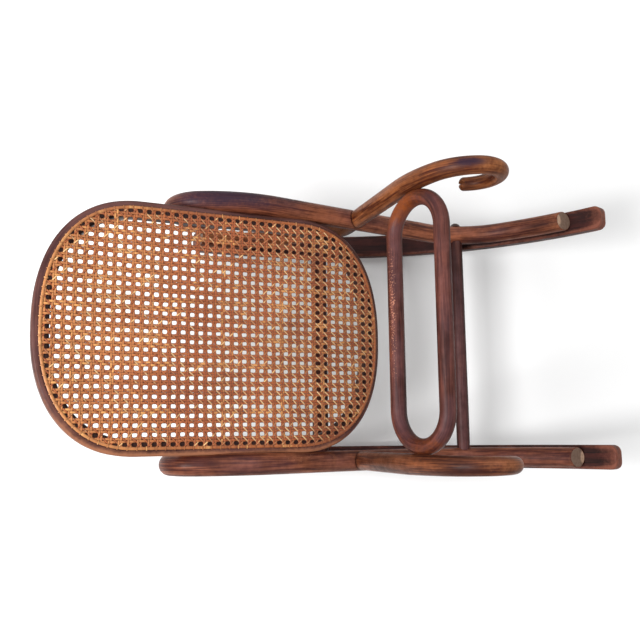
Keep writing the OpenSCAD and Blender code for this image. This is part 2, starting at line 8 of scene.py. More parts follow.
import logging
import math
from collections.abc import Callable
from dataclasses import dataclass
from enum import Enum

import bpy
import numpy as np
from mathutils import Matrix, Vector, noise

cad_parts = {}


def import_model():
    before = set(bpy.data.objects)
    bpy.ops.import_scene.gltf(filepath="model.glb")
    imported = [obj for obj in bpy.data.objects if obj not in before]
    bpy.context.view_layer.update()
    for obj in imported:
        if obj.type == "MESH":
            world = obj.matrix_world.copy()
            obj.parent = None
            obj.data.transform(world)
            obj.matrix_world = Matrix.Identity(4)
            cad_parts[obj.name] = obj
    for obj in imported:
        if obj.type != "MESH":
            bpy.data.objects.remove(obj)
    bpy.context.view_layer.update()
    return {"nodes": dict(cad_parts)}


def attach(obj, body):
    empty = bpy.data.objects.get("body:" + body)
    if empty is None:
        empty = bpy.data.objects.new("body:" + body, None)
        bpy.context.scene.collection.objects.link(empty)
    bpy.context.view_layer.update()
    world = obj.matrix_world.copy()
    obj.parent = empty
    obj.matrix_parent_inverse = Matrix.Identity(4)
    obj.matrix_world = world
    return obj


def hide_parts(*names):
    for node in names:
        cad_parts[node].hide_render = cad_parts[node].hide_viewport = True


log = logging.getLogger("footstool")

Colour = tuple[float, float, float]
Pair = tuple[float, float]
Triple = tuple[float, float, float]
Material = bpy.types.Material
Node = bpy.types.Node
Piece = bpy.types.Object
Socket = bpy.types.NodeSocket
BODY = "root"
AS_NUMBER = "NodeSocketFloat"
AS_VECTOR = "NodeSocketVector"
AS_COLOUR = "NodeSocketColor"

# Attributes that the pieces carry for their finishes

GRAIN = "grain"
# Rubbed tone; on the seat ring's near side it is painted light.
WEAR = "wear"
FLECK = "fleck"
STAIN = "stain"
# Dark seams at the laps; on the seat ring's top under the cane it is painted shade.
SEAM = "seam"
STRAND = "strand"
# Over or under in the weave; the cane's finish paints shade where a strand dips.
LIFT = "lift"
RUN = "run"
# Distance from a strand's middle; the cane's finish paints shade along the edges.
EDGE = "edge"

# Colours that several finishes share

CHIPPED: Colour = (0.74, 0.5, 0.4)
# Colour of tight seams and of the painted shade under the cane.
SEAM_DARK: Colour = (0.09, 0.04, 0.03)
POLISH_DARK: Colour = (0.13, 0.07, 0.07)
STRAND_DARK: Colour = (0.36, 0.15, 0.08)
RIM_DARK: Colour = (0.2, 0.12, 0.1)
BLACK: Colour = (0.0, 0.0, 0.0)
WHITE: Colour = (1.0, 1.0, 1.0)


class Side(Enum):
    """The two side frames, with the sign of their Y."""

    LEFT = 1
    RIGHT = -1

    @property
    def word(self) -> str:
        """The side's name in lower case."""
        return self.name.lower()


class EndCut(Enum):
    """How the end of a rod is finished."""

    SAWN = "sawn"
    ROUNDED = "rounded"


class Way(Enum):
    """The six ways of a hand-caned seat, in the order in which they are laid."""

    LONG_UNDER = "long_under"
    CROSS_UNDER = "cross_under"
    LONG_OVER = "long_over"
    CROSS_OVER = "cross_over"
    SLANT_UP = "slant_up"
    SLANT_DOWN = "slant_down"


# Nodes


class Wire:
    """A node's output that takes part in arithmetic."""

    def __init__(self, graph: "Graph", socket: Socket) -> None:
        """Keeps the output and the graph that it is in."""
        self.graph = graph
        self.socket = socket

    def _math(self, operation: str, *others: "Wire | float") -> "Wire":
        """Returns the output of a Math node on this wire and the others."""
        return self.graph.math(operation, self, *others)

    def __add__(self, other: "Wire | float") -> "Wire":
        """Returns the sum."""
        return self._math("ADD", other)

    def __sub__(self, other: "Wire | float") -> "Wire":
        """Returns the difference."""
        return self._math("SUBTRACT", other)

    def __rsub__(self, other: float) -> "Wire":
        """Returns a number less this wire."""
        return self.graph.math("SUBTRACT", other, self)

    def __mul__(self, other: "Wire | float") -> "Wire":
        """Returns the product."""
        return self._math("MULTIPLY", other)

    def __truediv__(self, other: "Wire | float") -> "Wire":
        """Returns the quotient."""
        return self._math("DIVIDE", other)

    def __pow__(self, other: "Wire | float") -> "Wire":
        """Returns this wire raised to a power."""
        return self._math("POWER", other)

    def over(self, other: "Wire | float") -> "Wire":
        """Returns the larger of the two."""
        return self._math("MAXIMUM", other)

    def under(self, other: "Wire | float") -> "Wire":
        """Returns the smaller of the two."""
        return self._math("MINIMUM", other)

    def within(self) -> "Wire":
        """Returns this wire held between 0 and 1."""
        return self.over(0.0).under(1.0)


class Graph:
    """Builds a node tree from few words."""

    def __init__(self, tree: bpy.types.NodeTree) -> None:
        """Keeps the tree that the nodes go into."""
        self.tree = tree

    def feed(self, socket: Socket, value: object) -> None:
        """Links or sets one input.

        Args:
            socket: The input.
            value: A wire, an output, or a plain value.
        """
        if isinstance(value, Wire):
            value = value.socket
        if isinstance(value, Socket):
            self.tree.links.new(value, socket)
        else:
            socket.default_value = value

    def add(self, kind: str, inputs: dict[str | int, object] | None = None, **settings: object) -> Node:
        """Adds a node.

        Args:
            kind: The node's type.
            inputs: What its inputs get, by name or number.
            settings: Its own properties.

        Returns:
            The node.
        """
        node = self.tree.nodes.new(kind)
        for key, value in settings.items():
            setattr(node, key, value)
        for key, value in (inputs or {}).items():
            self.feed(node.inputs[key], value)
        return node

    def out(self, node: Node, key: str | int = 0) -> Wire:
        """Returns one output of a node as a wire."""
        return Wire(self, node.outputs[key])

    def math(self, operation: str, *values: Wire | float) -> Wire:
        """Returns the output of a Math node."""
        return self.out(self.add("ShaderNodeMath", dict(enumerate(values)), operation=operation))

    def vector(self, x: Wire | float, y: Wire | float, z: Wire | float) -> Wire:
        """Returns three numbers joined to a vector."""
        return self.out(self.add("ShaderNodeCombineXYZ", {0: x, 1: y, 2: z}))

    def parts(self, vector: Wire) -> tuple[Wire, Wire, Wire]:
        """Returns a vector's three numbers."""
        node = self.add("ShaderNodeSeparateXYZ", {0: vector})
        return self.out(node, 0), self.out(node, 1), self.out(node, 2)

    def scaled(self, vector: Wire, by: Triple) -> Wire:
        """Returns a vector multiplied number by number."""
        return self.out(self.add("ShaderNodeVectorMath", {0: vector, 1: by}, operation="MULTIPLY"))

    def times(self, vector: Wire, by: Wire | float) -> Wire:
        """Returns a vector multiplied by one number."""
        return self.out(self.add("ShaderNodeVectorMath", {0: vector, "Scale": by}, operation="SCALE"))

    def plus(self, first: Wire, second: Wire) -> Wire:
        """Returns the sum of two vectors."""
        return self.out(self.add("ShaderNodeVectorMath", {0: first, 1: second}, operation="ADD"))

    def position(self) -> Wire:
        """Returns the place of each point of a geometry."""
        return self.out(self.add("GeometryNodeInputPosition"))

    def noise(self, vector: Wire, scale: Wire | float, detail: float = 3.0, rough: float = 0.55) -> Wire:
        """Returns a noise between 0 and 1."""
        inputs = {"Vector": vector, "Scale": scale, "Detail": detail, "Roughness": rough}
        return self.out(self.add("ShaderNodeTexNoise", inputs), "Fac")

    def steps(self, value: Wire, low: float, high: float, start: float = 0.0, end: float = 1.0) -> Wire:
        """Returns a value mapped smoothly from one range to another."""
        inputs = {"Value": value, "From Min": low, "From Max": high, "To Min": start, "To Max": end}
        return self.out(self.add("ShaderNodeMapRange", inputs, interpolation_type="SMOOTHSTEP"))

    def mix(self, share: Wire | float, first: object, second: object, blend: str = "MIX") -> Wire:
        """Returns two colours mixed.

        Args:
            share: How much of the second, from 0 to 1.
            first: A wire or a colour.
            second: A wire or a colour.
            blend: The mix mode.

        Returns:
            The mixed colour.
        """
        ends = [rgba(value) if isinstance(value, tuple) else value for value in (first, second)]
        settings = {"data_type": "RGBA", "blend_type": blend}
        return self.out(self.add("ShaderNodeMix", {0: share, 6: ends[0], 7: ends[1]}, **settings), 2)


def rgba(colour: Colour) -> tuple[float, float, float, float]:
    """Returns a colour written as on a screen, in the linear values that the nodes take."""
    line = [c / 12.92 if c <= 0.04045 else ((c + 0.055) / 1.055) ** 2.4 for c in colour]
    return line[0], line[1], line[2], 1.0


SOCKETS = {
    bool: "NodeSocketBool",
    float: AS_NUMBER,
    int: "NodeSocketInt",
    tuple: AS_VECTOR,
    Material: "NodeSocketMaterial",
}


class ShaderGroup:
    """A shader effect that several finishes share, with named inputs and outputs."""

    def __init__(self, name: str, inputs: dict[str, str], outputs: dict[str, str]) -> None:
        """Makes the empty group.

        Args:
            name: The group's name.
            inputs: The socket type of each input.
            outputs: The socket type of each output.
        """
        self.tree = bpy.data.node_groups.new(name, "ShaderNodeTree")
        for label, kind in inputs.items():
            self.tree.interface.new_socket(name=label, in_out="INPUT", socket_type=kind)
        for label, kind in outputs.items():
            self.tree.interface.new_socket(name=label, in_out="OUTPUT", socket_type=kind)
        self.graph = Graph(self.tree)
        self.source = self.graph.add("NodeGroupInput")
        self.sink = self.graph.add("NodeGroupOutput")

    def given(self, label: str) -> Wire:
        """Returns one input as a wire."""
        return self.graph.out(self.source, label)

    def gives(self, label: str, value: Wire) -> None:
        """Sends a value to one output."""
        self.graph.feed(self.sink.inputs[label], value)

    def use(self, graph: Graph, **inputs: object) -> Node:
        """Places the group in a material.

        Args:
            graph: The material's graph.
            inputs: What its inputs get, with an underscore for a space.

        Returns:
            The group node.
        """
        node = graph.add("ShaderNodeGroup", node_tree=self.tree)
        for key, value in inputs.items():
            plain = rgba(value) if isinstance(value, tuple) and len(value) == 3 else value
            graph.feed(node.inputs[key.replace("_", " ")], plain)
        return node


class Effects:
    """The shader effects that the finishes share."""

    def __init__(self) -> None:
        """Builds each group once."""
        self.timber = self._timber()
        self.worn = self._worn()
        self.grime = self._grime()
        self.tint = self._tint()

    @staticmethod
    def _timber() -> ShaderGroup:
        """Builds the grain of a bent stick, which runs along the grain coordinates' first axis.

        Returns:
            The group.
        """
        group = ShaderGroup(
            "timber_grain",
            {"Grain": AS_VECTOR, "Dark": AS_COLOUR, "Pale": AS_COLOUR},
            {"Color": AS_COLOUR, "Height": AS_NUMBER},
        )
        graph = group.graph
        where = group.given("Grain")
        broad = graph.noise(graph.scaled(where, (7.0, 75.0, 75.0)), scale=1.0, detail=4.0, rough=0.6)
        fibre = graph.noise(graph.scaled(where, (18.0, 520.0, 520.0)), scale=1.0, detail=3.0, rough=0.62)
        pores = graph.noise(graph.scaled(where, (110.0, 2300.0, 2300.0)), scale=1.0, detail=2.0, rough=0.5)
        blend = broad * 0.55 + fibre * 0.45
        body = graph.mix(graph.steps(blend, 0.39, 0.61), group.given("Dark"), group.given("Pale"))
        flecks = graph.steps(pores, 0.55, 0.7)
        group.gives("Color", graph.mix(flecks * 0.35, body, group.given("Dark")))
        group.gives("Height", fibre * 0.7 - flecks * 0.5)
        return group

    @staticmethod
    def _worn() -> ShaderGroup:
        """Builds what use leaves on polish: rubbed and chipped places, a dark stain and tight seams. The
        rubbed tone also carries painted light and the seams painted shade, where a piece stores them so.

        Returns:
            The group.
        """
        group = ShaderGroup(
            "marks_of_use",
            {
                "Color": AS_COLOUR,
                "Bare": AS_COLOUR,
                "Stained": AS_COLOUR,
                "Wear": AS_NUMBER,
                "Fleck": AS_NUMBER,
                "Stain": AS_NUMBER,
                "Seam": AS_NUMBER,
                "Place": AS_VECTOR,
            },
            {"Color": AS_COLOUR, "Mask": AS_NUMBER},
        )
        graph = group.graph
        patch = graph.noise(group.given("Place"), scale=30.0, detail=5.0, rough=0.65)
        speck = graph.noise(group.given("Place"), scale=230.0, detail=3.0, rough=0.6)
        chip = graph.noise(group.given("Place"), scale=520.0, detail=2.0, rough=0.5)
        level = group.given("Wear") + (patch - 0.5) + (speck - 0.5) * 0.4
        mask = graph.steps(level, 0.24, 0.95)
        rubbed = graph.mix(mask, group.given("Color"), group.given("Bare"))
        blue = graph.steps(group.given("Stain") * (speck * 0.8 + 0.6) + (patch - 0.5) * 0.5, 0.12, 0.85)
        stained = graph.mix(blue * 0.9, rubbed, group.given("Stained"))
        chips = graph.steps(chip * 0.8 + group.given("Fleck") * 0.2, 0.62, 0.68) * group.given("Fleck")
        chipped = graph.mix(chips.within() * 0.8, stained, CHIPPED)
        group.gives("Color", graph.mix(group.given("Seam").within() * 0.92, chipped, SEAM_DARK))
        group.gives("Mask", mask)
        return group

    @staticmethod
    def _grime() -> ShaderGroup:
        """Builds the uneven dullness of old polish: darker blotches, and rougher where it is dull.

        Returns:
            The group.
        """
        group = ShaderGroup(
            "old_polish",
            {
                "Color": AS_COLOUR,
                "Place": AS_VECTOR,
                "Depth": AS_NUMBER,
                "Rough": AS_NUMBER,
            },
            {"Color": AS_COLOUR, "Roughness": AS_NUMBER},
        )
        graph = group.graph
        blot = graph.noise(group.given("Place"), scale=16.0, detail=4.0, rough=0.6)
        smear = graph.noise(group.given("Place"), scale=95.0, detail=3.0, rough=0.6)
        dull = graph.steps(blot * 0.6 + smear * 0.4, 0.38, 0.64)
        group.gives("Color", graph.mix(group.given("Depth") * dull, group.given("Color"), POLISH_DARK))
        group.gives("Roughness", group.given("Rough") + (dull - 0.5) * 0.16)
        return group

    @staticmethod
    def _tint() -> ShaderGroup:
        """Builds a tint that differs from strand to strand, with golden stretches along each.

        Returns:
            The group.
        """
        group = ShaderGroup(
            "strand_tint",
            {
                "Strand": AS_NUMBER,
                "Run": AS_NUMBER,
                "Base": AS_COLOUR,
                "Golden": AS_COLOUR,
                "Share": AS_NUMBER,
            },
            {"Color": AS_COLOUR, "Height": AS_NUMBER},
        )
        graph = group.graph
        strand = group.given("Strand")
        run = group.given("Run")
        track = graph.vector(run * 26.0, strand * 91.7, 0.0)
        stretch = graph.noise(track, scale=1.0, detail=3.0, rough=0.6)
        fine_track = graph.vector(run * 320.0, strand * 47.3, 0.0)
        fleck = graph.noise(fine_track, scale=1.0, detail=2.0, rough=0.5)
        level = stretch + (strand - 0.5) * 0.3 + (fleck - 0.5) * 0.35
        gold = graph.steps(level, 0.56, 0.72) * group.given("Share")
        shade = graph.steps(fleck, 0.35, 0.7) * 0.5 + graph.steps(strand, 0.55, 1.0) * 0.25
        tone = graph.mix(shade, group.given("Base"), STRAND_DARK)
        group.gives("Color", graph.mix(gold, tone, group.given("Golden")))
        group.gives("Height", fleck)
        return group


# Finishes


def new_material(name: str) -> tuple[Material, Graph, Node]:
    """Makes a material with one Principled BSDF.

    Args:
        name: The material's name.

    Returns:
        The material, its graph and its shader node.
    """
    material = bpy.data.materials.new(name)
    material.use_nodes = True
    material.node_tree.nodes.clear()
    graph = Graph(material.node_tree)
    shader = graph.add("ShaderNodeBsdfPrincipled")
    sink = graph.add("ShaderNodeOutputMaterial")
    graph.feed(sink.inputs["Surface"], shader.outputs["BSDF"])
    return material, graph, shader


def own_place(graph: Graph) -> Wire:
    """Returns the Object coordinates."""
    return graph.out(graph.add("ShaderNodeTexCoord"), "Object")


def own_attribute(graph: Graph, name: str, key: str = "Fac") -> Wire:
    """Returns an attribute that is stored on the piece."""
    return graph.out(graph.add("ShaderNodeAttribute", attribute_name=name), key)


def bump(graph: Graph, height: Wire, strength: float, depth: float) -> Socket:
    """Returns a normal that is bumped by a height.

    Args:
        graph: The material's graph.
        height: The height between 0 and 1.
        strength: The bump's strength.
        depth: The height of 1 in metres.

    Returns:
        The normal.
    """
    inputs = {"Height": height, "Strength": strength, "Distance": depth}
    return graph.add("ShaderNodeBump", inputs).outputs["Normal"]


@dataclass(frozen=True)
class Timber:
    """Stained and polished bent wood, with a painted violet sheen on what faces up."""

    name: str
    dark: Colour
    pale: Colour
    bare: Colour
    # The colour of the painted sheen.
    bloom: Colour = (0.42, 0.29, 0.31)
    stained: Colour = (0.17, 0.11, 0.17)
    # How much painted sheen the up-facing surfaces get.
    bloom_share: float = 0.5
    depth: float = 0.45
    rough: float = 0.46
    coat: float = 0.05
    coat_rough: float = 0.26
    shine: float = 0.1
    relief: float = 0.45
    relief_depth: float = 0.0005

    def material(self, effects: Effects) -> Material:
        """Makes the finish.

        Args:
            effects: The effects that the finishes share.

        Returns:
            The material.
        """
        material, graph, shader = new_material(self.name)
        place = own_place(graph)
        grain = own_attribute(graph, GRAIN, "Vector")
        timber = effects.timber.use(graph, Grain=grain, Dark=self.dark, Pale=self.pale)
        # Painted sheen: a violet tint mixed in where the surface faces up, in cloudy patches.
        _, _, up = graph.parts(graph.out(graph.add("ShaderNodeNewGeometry"), "Normal"))
        cloud = graph.noise(place, scale=9.0, detail=4.0, rough=0.6)
        bloomed = graph.steps(up, 0.35, 1.0) * graph.steps(cloud, 0.36, 0.62) * self.bloom_share
        toned = graph.mix(bloomed, graph.out(timber, "Color"), self.bloom)
        polish = effects.grime.use(graph, Color=toned, Place=place, Depth=self.depth, Rough=self.rough)
        marks = effects.worn.use(
            graph,
            Color=polish.outputs["Color"],
            Bare=self.bare,
            Stained=self.stained,
            Wear=own_attribute(graph, WEAR),
            Fleck=own_attribute(graph, FLECK),
            Stain=own_attribute(graph, STAIN),
            Seam=own_attribute(graph, SEAM),
            Place=place,
        )
        mask = graph.out(marks, "Mask")
        graph.feed(shader.inputs["Base Color"], marks.outputs["Color"])
        graph.feed(shader.inputs["Roughness"], graph.out(polish, "Roughness") + mask * 0.12)
        graph.feed(shader.inputs["Coat Weight"], (1.0 - mask) * self.coat)
        shader.inputs["Coat Roughness"].default_value = self.coat_rough
        shader.inputs["Specular IOR Level"].default_value = self.shine
        height = graph.out(timber, "Height")
        graph.feed(shader.inputs["Normal"], bump(graph, height, self.relief, self.relief_depth))
        return material


@dataclass(frozen=True)
class SawnEnd:
    """End grain of a cut rod: rings about the grain's zero, which a rod's seed shifts off its middle."""

    name: str = "sawn_end_grain"
    pale: Colour = (0.76, 0.63, 0.53)
    dark: Colour = (0.48, 0.36, 0.29)
    ring: float = 900.0
    rough: float = 0.72
    relief: float = 0.2
    relief_depth: float = 0.0003

    def material(self) -> Material:
        """Makes the finish.

        Returns:
            The material.
        """
        material, graph, shader = new_material(self.name)
        grain = own_attribute(graph, GRAIN, "Vector")
        _, across, up = graph.parts(grain)
        far = graph.math("SQRT", across * across + up * up)
        wobble = graph.noise(grain, scale=160.0, detail=3.0)
        rings = graph.math("SINE", far * self.ring * 2.0 + wobble * 9.0) * 0.5 + 0.5
        stain = graph.noise(grain, scale=260.0, detail=3.0)
        tone = graph.mix(rings * 0.3 + graph.steps(stain, 0.4, 0.7) * 0.4, self.pale, self.dark)
        rim = graph.steps(far, 0.0105, 0.0145)
        pith = graph.steps(far, 0.0042, 0.0016)
        graph.feed(shader.inputs["Base Color"], graph.mix(rim * 0.7 + pith * 0.75, tone, RIM_DARK))
        shader.inputs["Roughness"].default_value = self.rough
        graph.feed(shader.inputs["Normal"], bump(graph, rings, self.relief, self.relief_depth))
        return material


@dataclass(frozen=True)
class Rattan:
    """Split cane: a glossy skin tinted strand by strand, paler towards one end of the seat and browner
    towards the other, partly its own tone and partly painted light and shade.
    """

    name: str
    base: Colour
    golden: Colour
    share: float
    # The colour of the browner end, of random blotches and of the painted shade where a strand dips.
    brown: Colour = (0.46, 0.24, 0.15)
    # The colour of the painted shade along the strands' edges.
    dark: Colour = (0.3, 0.12, 0.07)
    rough: float = 0.45
    # Where the painted light and fading pale the cane, and how much.
    sunny: Pair = (-0.16, -0.42)
    sun: float = 0.4
    # Where the cane browns, partly wear and partly painted shade.
    sat_on: Pair = (-0.2, 0.06)
    polish: float = 0.18
    shine: float = 0.35
    relief: float = 0.25
    relief_depth: float = 0.0002

    def material(self, effects: Effects) -> Material:
        """Makes the finish.

        Args:
            effects: The effects that the finishes share.

        Returns:
            The material.
        """
        material, graph, shader = new_material(self.name)
        place = own_place(graph)
        tint = effects.tint.use(
            graph,
            Strand=own_attribute(graph, STRAND),
            Run=own_attribute(graph, RUN),
            Base=self.base,
            Golden=self.golden,
            Share=self.share,
        )
        along, _, _ = graph.parts(place)
        patch = graph.noise(place, scale=9.0, detail=4.0, rough=0.6)
        # Partly painted light: paler towards one end of the seat, partly the cane's own fading.
        sunned = graph.steps(along + (patch - 0.5) * 0.3, *self.sunny)
        paled = graph.mix(sunned * self.sun, graph.out(tint, "Color"), self.golden)
        # Partly painted shade: browner towards the seat's scroll end, partly wear from sitting.
        worn = graph.steps(along + (patch - 0.5) * 0.5, *self.sat_on)
        aged = graph.mix(worn * 0.32 + graph.steps(patch, 0.5, 0.72) * 0.3, paled, self.brown)
        # Painted shade: darker brown where a strand dips under the others.
        dip = graph.steps(own_attribute(graph, LIFT), 0.45, -0.9)
        # Painted shade: darker along each strand's edges, where strands meet and holes open.
        rim = graph.steps(own_attribute(graph, EDGE), 0.55, 0.98)
        polish = effects.grime.use(graph, Color=aged, Place=place, Depth=self.polish, Rough=self.rough)
        toned = graph.mix(dip * 0.6, graph.out(polish, "Color"), self.brown)
        graph.feed(shader.inputs["Base Color"], graph.mix(rim * 0.92, toned, self.dark))
        graph.feed(shader.inputs["Roughness"], polish.outputs["Roughness"])
        shader.inputs["Specular IOR Level"].default_value = self.shine
        height = graph.out(tint, "Height")
        graph.feed(shader.inputs["Normal"], bump(graph, height, self.relief, self.relief_depth))
        return material


@dataclass(frozen=True)
class Iron:
    """Dulled iron or steel with brown bloom and bright rubs."""

    name: str
    metal: Colour
    bloom: Colour
    rough: float
    relief: float = 0.3
    relief_depth: float = 0.0004

    def material(self) -> Material:
        """Makes the finish.

        Returns:
            The material.
        """
        material, graph, shader = new_material(self.name)
        place = own_place(graph)
        blot = graph.noise(place, scale=260.0, detail=5.0, rough=0.65)
        fine = graph.noise(place, scale=1400.0, detail=3.0, rough=0.6)
        rust = graph.steps(blot, 0.42, 0.66)
        graph.feed(shader.inputs["Base Color"], graph.mix(rust, self.metal, self.bloom))
        graph.feed(shader.inputs["Metallic"], 1.0 - rust * 0.55)
        graph.feed(shader.inputs["Roughness"], rust * 0.25 + fine * 0.12 + self.rough)
        height = blot * 0.7 + fine * 0.3
        graph.feed(shader.inputs["Normal"], bump(graph, height, self.relief, self.relief_depth))
        return material


class Finishes:
    """Every finish of the footstool, each made once."""

    def __init__(self) -> None:
        """Builds the shared effects and the materials."""
        effects = Effects()
        self.rail_wood = Timber(
            "rail_beech",
            dark=(0.27, 0.11, 0.07),
            pale=(0.61, 0.36, 0.25),
            bare=(0.68, 0.43, 0.29),
            bloom_share=0.4,
        ).material(effects)
        self.scroll_wood = Timber(
            "scroll_beech",
            dark=(0.27, 0.1, 0.04),
            pale=(0.59, 0.35, 0.2),
            bare=(0.74, 0.48, 0.3),
            bloom_share=0.08,
        ).material(effects)
        # The near scroll's copy carries more painted sheen than the far one.
        self.near_wood = Timber(
            "near_scroll_beech",
            dark=(0.22, 0.09, 0.05),
            pale=(0.56, 0.33, 0.21),
            bare=(0.66, 0.42, 0.28),
            bloom_share=0.3,
        ).material(effects)
        self.loop_wood = Timber(
            "loop_beech",
            dark=(0.2, 0.08, 0.06),
            pale=(0.44, 0.25, 0.21),
            bare=(0.52, 0.26, 0.1),
            bloom_share=0.45,
            depth=0.35,
        ).material(effects)
        self.bar_wood = Timber(
            "stretcher_beech",
            dark=(0.17, 0.07, 0.06),
            pale=(0.35, 0.2, 0.17),
            bare=(0.45, 0.27, 0.2),
            bloom_share=0.35,
        ).material(effects)
        self.runner_wood = Timber(
            "runner_beech",
            dark=(0.11, 0.04, 0.03),
            pale=(0.27, 0.12, 0.1),
            bare=(0.5, 0.3, 0.24),
            bloom_share=0.1,
        ).material(effects)
        # The seat ring's bare colour is also its painted light on the near side.
        self.seat_wood = Timber(
            "seat_ring_beech",
            dark=(0.23, 0.12, 0.1),
            pale=(0.41, 0.26, 0.22),
            bare=(0.62, 0.41, 0.3),
            bloom_share=0.3,
            depth=0.2,
        ).material(effects)
        self.sawn = SawnEnd().material()
        self.cane = Rattan(
            "woven_cane", base=(0.7, 0.38, 0.21), golden=(0.94, 0.68, 0.4), share=0.75
        ).material(effects)
        # The slant ways are paler copies of the cane: their golden colour is partly the cane's own tone and
        # partly painted highlight on the diagonals.
        self.slant_up = Rattan(
            "slant_up_cane",
            base=(0.7, 0.38, 0.21),
            golden=(0.98, 0.78, 0.54),
            share=1.0,
            sunny=(-0.24, -0.02),
            sun=0.3,
        ).material(effects)
        self.slant_down = Rattan(
            "slant_down_cane",
            base=(0.72, 0.4, 0.22),
            golden=(0.99, 0.84, 0.62),
            share=0.6,
            brown=(0.62, 0.36, 0.22),
            sunny=(-0.24, -0.04),
            sun=0.8,
        ).material(effects)
        self.binder = Rattan(
            "cane_binder", base=(0.68, 0.39, 0.21), golden=(0.93, 0.68, 0.42), share=0.8
        ).material(effects)
        self.iron = Iron("dull_iron_head", (0.3, 0.26, 0.25), (0.22, 0.13, 0.1), 0.42).material()
        self.steel = Iron("wood_screw_steel", (0.55, 0.53, 0.5), (0.32, 0.25, 0.2), 0.34).material()


# Shapes

SHARP = 44.0
END_ROUNDING = (12, 25, 38, 50, 61, 71, 80, 87)
END_BEVEL = (30, 60, 90)
END_FACE = (0.97, 0.66, 0.33, 0.04)
ACROSS = np.array([0.0, 1.0, 0.0])


@dataclass(frozen=True)
class Move:
    """One move along a rod: a straight run where the radius is 0, or else a bend."""

    radius: float
    amount: float

    @property
    def length(self) -> float:
        """Length along the rod, in metres."""
        return self.amount if self.radius == 0 else self.radius * abs(math.radians(self.amount))


@dataclass(frozen=True)
class Spot:
    """A place on a side frame's plane: X, height, and heading in degrees."""

    x: float
    z: float
    heading: float

    def after(self, move: Move, share: float = 1.0) -> "Spot":
        """Goes on along a move, in which a left turn is positive.

        Args:
            move: The move.
            share: How much of it, from 0 to 1.

        Returns:
            The spot at its end.
        """
        start = math.radians(self.heading)
        if move.radius == 0:
            run = move.amount * share
            return Spot(self.x + run * math.cos(start), self.z + run * math.sin(start), self.heading)
        end = math.radians(self.heading + move.amount * share)
        reach = math.copysign(move.radius, move.amount)
        return Spot(
            self.x + reach * (math.sin(end) - math.sin(start)),
            self.z - reach * (math.cos(end) - math.cos(start)),
            self.heading + move.amount * share,
        )


@dataclass(frozen=True)
class Rocker:
    """The circle that the footstool rocks on, and the turn at which it comes to rest."""

    radius: float = 0.540
    wear: float = 0.0003
    turn: float = -0.95
    middle: float = -0.000622287

    @property
    def height(self) -> float:
        """Height of the circle's centre."""
        return self.radius - self.wear

    def spot(self, radius: float, angle: float) -> Spot:
        """Returns the spot on a circle about the centre, at an angle from straight down."""
        a = math.radians(angle)
        return Spot(radius * math.sin(a), self.height - radius * math.cos(a), angle)

    def rest(self, points: np.ndarray) -> np.ndarray:
        """Turns points about the rocker's centre to where the footstool rests.

        Args:
            points: Points as an array whose last axis is X, Y, Z.

        Returns:
            The turned points.
        """
        a = math.radians(self.turn)
        up = points[..., 2] - self.height
        x = points[..., 0] * math.cos(a) + up * math.sin(a) - self.middle
        z = self.height - points[..., 0] * math.sin(a) + up * math.cos(a)
        return np.stack([x, points[..., 1], z], axis=-1)

    def turned(self, vectors: np.ndarray) -> np.ndarray:
        """Turns directions as the points are turned."""
        return self.rest(vectors) - self.rest(np.zeros(3))


@dataclass(frozen=True)
class Rub:
    """A marked place on a rod: how far along, how wide, which way it faces and how much of what mark."""

    run: float
    spread: float
    facing: Triple
    amount: float
    mark: str = WEAR
    focus: float = 1.0


@dataclass
class Skin:
    """Rings of points round a rod or strip, with what its finish reads."""

    points: np.ndarray
    grain: np.ndarray
    marks: dict[str, np.ndarray]
    looped: bool = False
    sawn: tuple[int, int] = (0, 0)

    def build(self, name: str, materials: list[Material]) -> Piece:
        """Makes the object.

        Args:
            name: The piece's name.
            materials: The side's material and, for a sawn end, the end grain.

        Returns:
            The object, at the origin.
        """
        rings, around, _ = self.points.shape
        first = np.arange(rings if self.looped else rings - 1)
        i = np.repeat(first, around)
        k = np.tile(np.arange(around), len(first))
        j = (i + 1) % rings
        step = (k + 1) % around
        faces = np.stack([i * around + k, j * around + k, j * around + step, i * around + step], 1)
        polygons = faces.tolist()
        if not self.looped:
            polygons.append(list(range(around)))
            polygons.append([(rings - 1) * around + n for n in reversed(range(around))])
        mesh = bpy.data.meshes.new(name)
        mesh.from_pydata(self.points.reshape(-1, 3).tolist(), [], polygons)
        mesh.attributes.new(GRAIN, "FLOAT_VECTOR", "POINT").data.foreach_set("vector", self.grain.ravel())
        for key, values in self.marks.items():
            mesh.attributes.new(key, "FLOAT", "POINT").data.foreach_set("value", values.ravel())
        for material in materials:
            mesh.materials.append(material)
        if self.sawn != (0, 0) and not self.looped:
            index = np.zeros(len(polygons), dtype=np.int32)
            index[: self.sawn[0] * around] = 1
            index[(rings - 1 - self.sawn[1]) * around : (rings - 1) * around] = 1
            index[-2] = 1 if self.sawn[0] else 0
            index[-1] = 1 if self.sawn[1] else 0
            mesh.polygons.foreach_set("material_index", index)
        mesh.polygons.foreach_set("use_smooth", np.ones(len(polygons), dtype=bool))
        if signed_volume(mesh) < 0:
            mesh.flip_normals()
        mesh.set_sharp_from_angle(angle=math.radians(SHARP))
        return add_object(name, mesh)


def signed_volume(mesh: bpy.types.Mesh) -> float:
    """Measures a closed mesh.

    Args:
        mesh: The mesh.

    Returns:
        Six times its volume, negative where its faces point inwards.
    """
    mesh.calc_loop_triangles()
    corners = np.empty(len(mesh.loop_triangles) * 3, dtype=np.int32)
    mesh.loop_triangles.foreach_get("vertices", corners)
    places = np.empty(len(mesh.vertices) * 3)
    mesh.vertices.foreach_get("co", places)
    a, b, c = places.reshape(-1, 3)[corners.reshape(-1, 3)].transpose(1, 0, 2)
    return float(np.einsum("ij,ij->", a, np.cross(b, c)))


